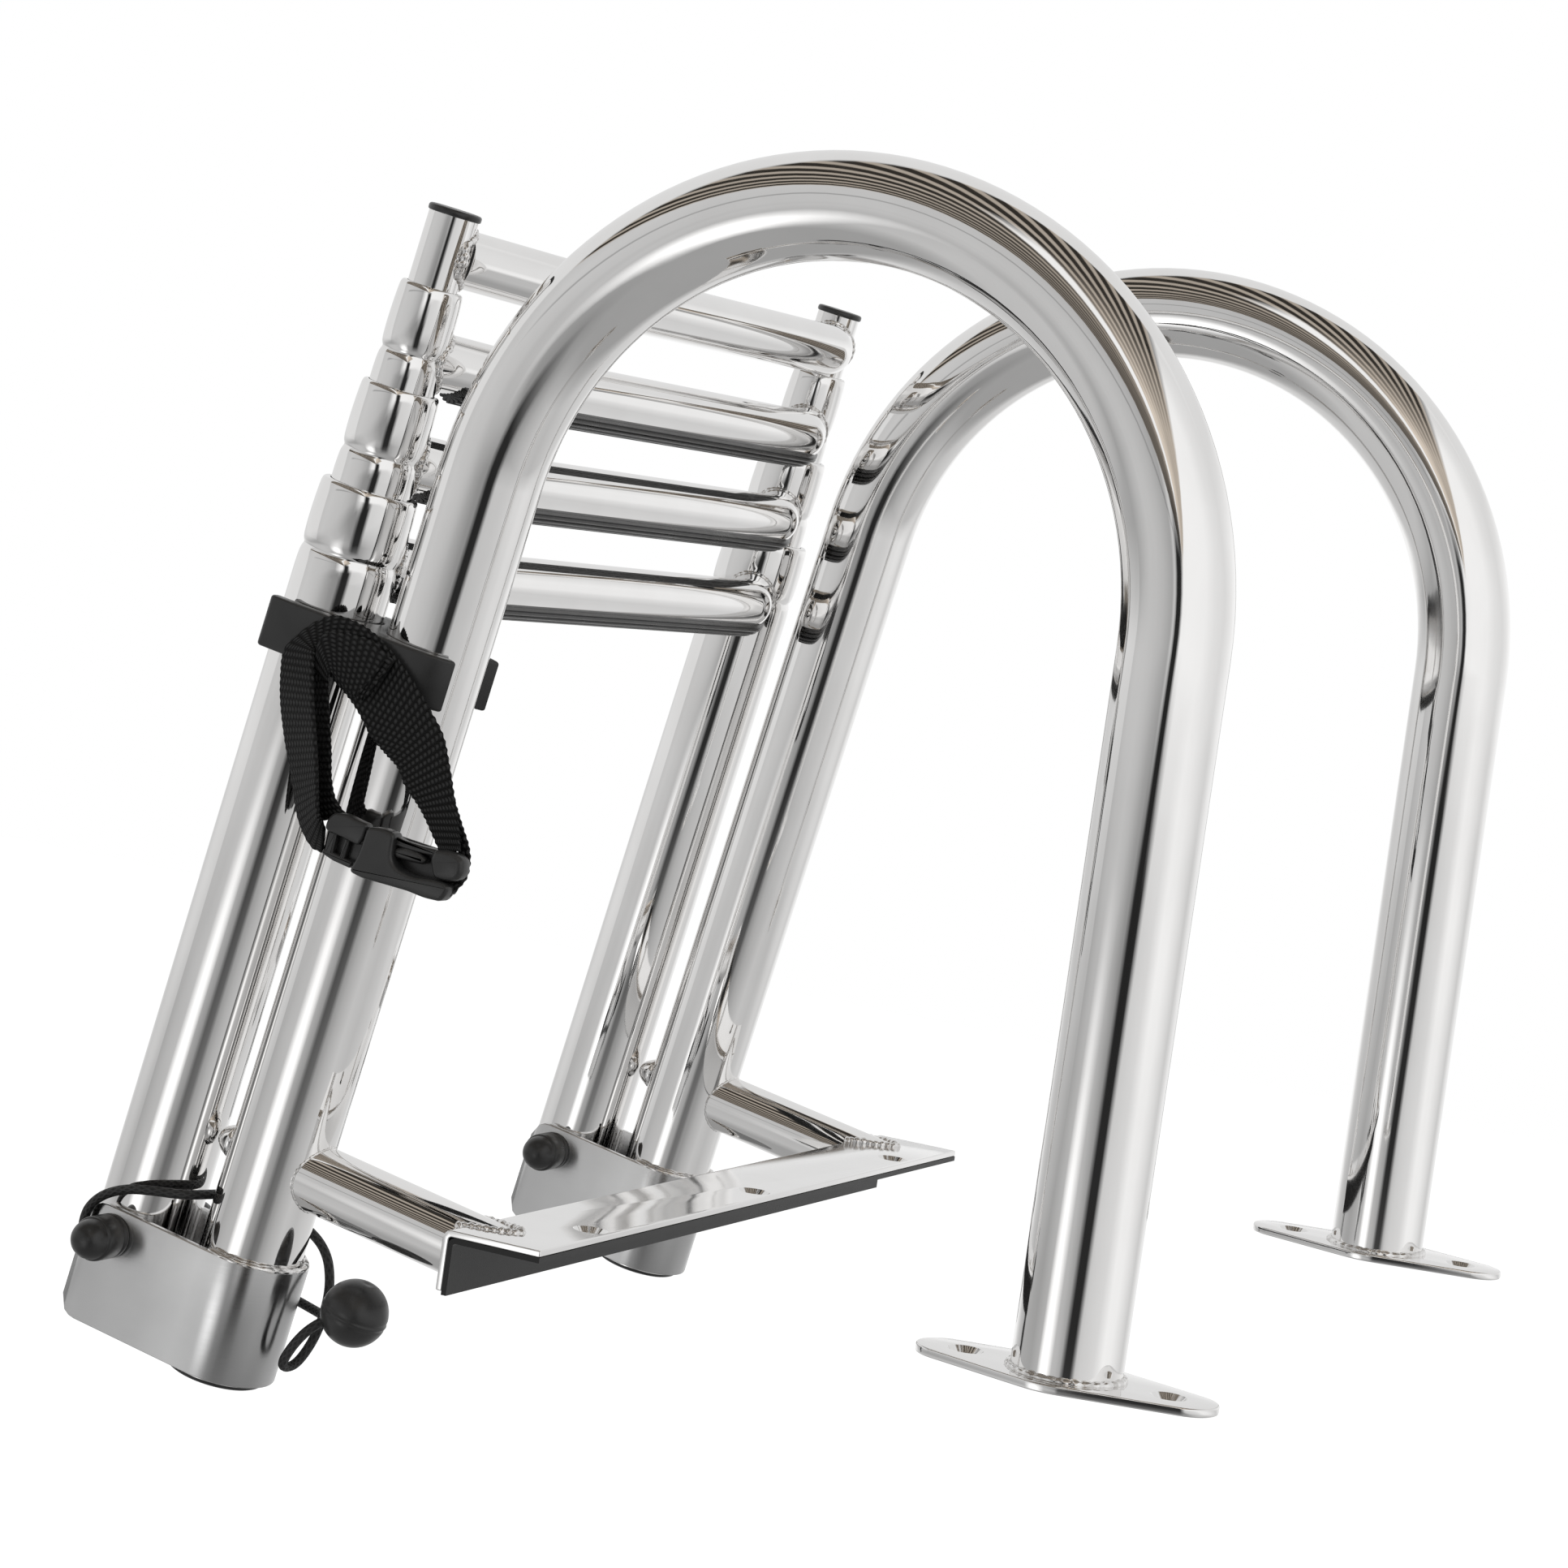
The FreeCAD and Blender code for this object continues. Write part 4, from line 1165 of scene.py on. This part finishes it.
# The ceiling's own axes, and the screen brightness where its slats run together in the distance
CEILING_ALONG = (0.886, 0.432, -0.165)
CEILING_ACROSS = (-0.461, 0.855, -0.239)
CEILING_UP = (0.038, 0.288, 0.957)
SLAT_PITCH = 0.151
FAR_SLATS = (
    (-1.3, 0.74), (-0.7, 0.72), (-0.35, 0.85), (-0.1, 0.9), (0.1, 0.62), (0.4, 0.4), (1.0, 0.34), (1.15, 0.5),
    (1.5, 0.64),
)


def shown(stops, start=PANELS_START, length=360.0):
    """Ramp stops from places and the screen brightness that polished steel shows there."""
    return [((a - start) / length, min(1.0, v ** 2.2 / 0.88)) for a, v in stops]


def studio_world():
    """Pale room: white to the camera, soft panels round the side and a slatted ceiling in the metal."""
    world = bpy.data.worlds.new("studio")
    bpy.context.scene.world = world
    wire = emptied(world)
    way = wire.node("TexCoord", out="Generated")
    rise = way.axis("Z")
    turn = wire.math("ARCTAN2", way.axis("Y"), way.axis("X")) / (2.0 * math.pi) + (1.0 - PANELS_START / 360.0)
    level = turn.fraction()
    tilted = (turn + rise.clamped(-0.32, 0.0) * 0.318).fraction()
    side = rise.span(-0.08, 0.0).blend(tilted.ramp(*shown(LOW_PANELS)), level.ramp(*shown(HIGH_PANELS)))
    side = rise.span(-0.22, -0.34).blend(side, level.ramp(*shown(FLOOR_PANELS)))
    side = rise.span(-0.6, -0.78).blend(side, grey(0.38))
    overhead = way.dot(CEILING_UP)
    facing = overhead.larger(0.02)
    across = way.dot(CEILING_ACROSS) / facing
    along = way.dot(CEILING_ALONG) / facing
    slat = (across / SLAT_PITCH + 0.7).fraction()
    beam = slat.ramp((0.0, 0.46), (0.16, 0.42), (0.28, 0.035), (0.72, 0.03), (0.84, 0.42), (1.0, 0.46))
    far = across.span(-1.3, 1.5).ramp(*shown(FAR_SLATS, -1.3, 2.8))
    tinted = wire.node("Mix", {"data_type": "RGBA", "blend_type": "MULTIPLY"},
                       {"Factor": 1.0, "A": (along.span(-0.5, -2.4) * 0.85).blend(beam, far),
                        "B": (1.0, 0.88, 0.75, 1.0)}, out="Result")
    lamp_strip = across.span(-0.16, -0.1) * across.span(0.1, 0.05) * along.span(-0.4, -0.7)
    tinted = lamp_strip.blend(tinted, grey(0.98))
    cornice = across.span(2.0, 2.15) * across.span(2.4, 2.25) * along.span(-0.5, -0.8) * 0.38
    side = (cornice * rise.span(-0.05, 0.1)).blend(side, grey(0.0))
    over = across.span(1.13, 1.08) * across.span(-1.3, -1.15) * overhead.span(0.0, 0.06)
    ceiling = (over * along.span(0.3, 0.2)).blend(side, tinted)
    ceiling = (along.span(0.2, 0.3) * overhead.span(0.1, 0.3)).blend(ceiling, grey(0.79))
    camera_ray = wire.node("LightPath", out="Is Camera Ray")
    shiny_ray = wire.node("LightPath", out="Is Glossy Ray").larger(wire.node("LightPath", out="Is Transmission Ray"))
    soft = wire.node("Background", None, {"Color": grey(0.9), "Strength": 0.55})
    shiny = wire.node("Background", None, {"Color": ceiling, "Strength": 1.0})
    white = wire.node("Background", None, {"Color": grey(1.0), "Strength": 1.0})
    lit = wire.node("MixShader", None, {0: shiny_ray, 1: soft, 2: shiny})
    output(wire.node("MixShader", None, {0: camera_ray, 1: lit, 2: white}), "OutputWorld")


studio_world()


def reflector(name, place, width, low, high, fades, level):
    """Upright panel that only the metal sees, turned to the ladder, with soft edges: side, bottom and top."""
    facing = Vector((-place[1], place[0], 0.0)).normalized() * width / 2.0
    foot = Vector((place[0], place[1], 0.0))
    points = [foot + facing * way + Vector((0, 0, z)) for way, z in ((-1, low), (1, low), (1, high), (-1, high))]
    material = bpy.data.materials.new(name)
    wire = emptied(material)
    lay = wire.node("TexCoord", out="UV")
    u = lay.axis("X")
    v = lay.axis("Y")
    side, bottom, top = fades
    seen = u.span(0.0, side) * u.span(1.0, 1.0 - side) * v.span(0.0, bottom) * v.span(1.0, 1.0 - top)
    clear = wire.node("BsdfTransparent")
    glow = wire.node("Emission", None, {"Color": grey(1.0), "Strength": level})
    output(wire.node("MixShader", None, {0: seen, 1: clear, 2: glow}))
    piece = add_piece(name, points, [(0, 1, 2, 3)], [(0, 0), (1, 0), (1, 1), (0, 1)], material)
    piece.visible_camera = False
    piece.visible_diffuse = False
    piece.visible_shadow = False


reflector("white_panel", (-1.16, 0.31), 0.62, -0.85, 0.1, (0.42, 0.47, 0.32), 1.5)
reflector("dark_figure", (-1.5, -0.66), 0.42, -0.1, 0.8, (0.3, 0.1, 0.3), 0.02)
reflector("dark_coat", (-1.5, -0.69), 0.78, -0.95, 0.25, (0.3, 0.6, 0.15), 0.025)


def lamp(name, place, size, power):
    """Square lamp turned to the ladder, in metres and watts, which the metal doesn't show."""
    light = bpy.data.lights.new(name, "AREA")
    light.shape = "SQUARE"
    light.size = size
    light.energy = power
    piece = bpy.data.objects.new(name, light)
    piece.location = place
    piece.rotation_euler = (Vector((0, 0, 0.1)) - Vector(place)).to_track_quat("-Z", "Y").to_euler()
    piece.visible_glossy = False
    bpy.context.scene.collection.objects.link(piece)


lamp("key_lamp", (-1.6, 0.9, 1.8), 1.2, 22.0)
lamp("fill_lamp", (-0.9, -2.0, 1.2), 1.4, 16.0)
lamp("top_lamp", (0.6, 0.2, 2.4), 1.8, 18.0)

bpy.context.scene.view_settings.view_transform = "Standard"
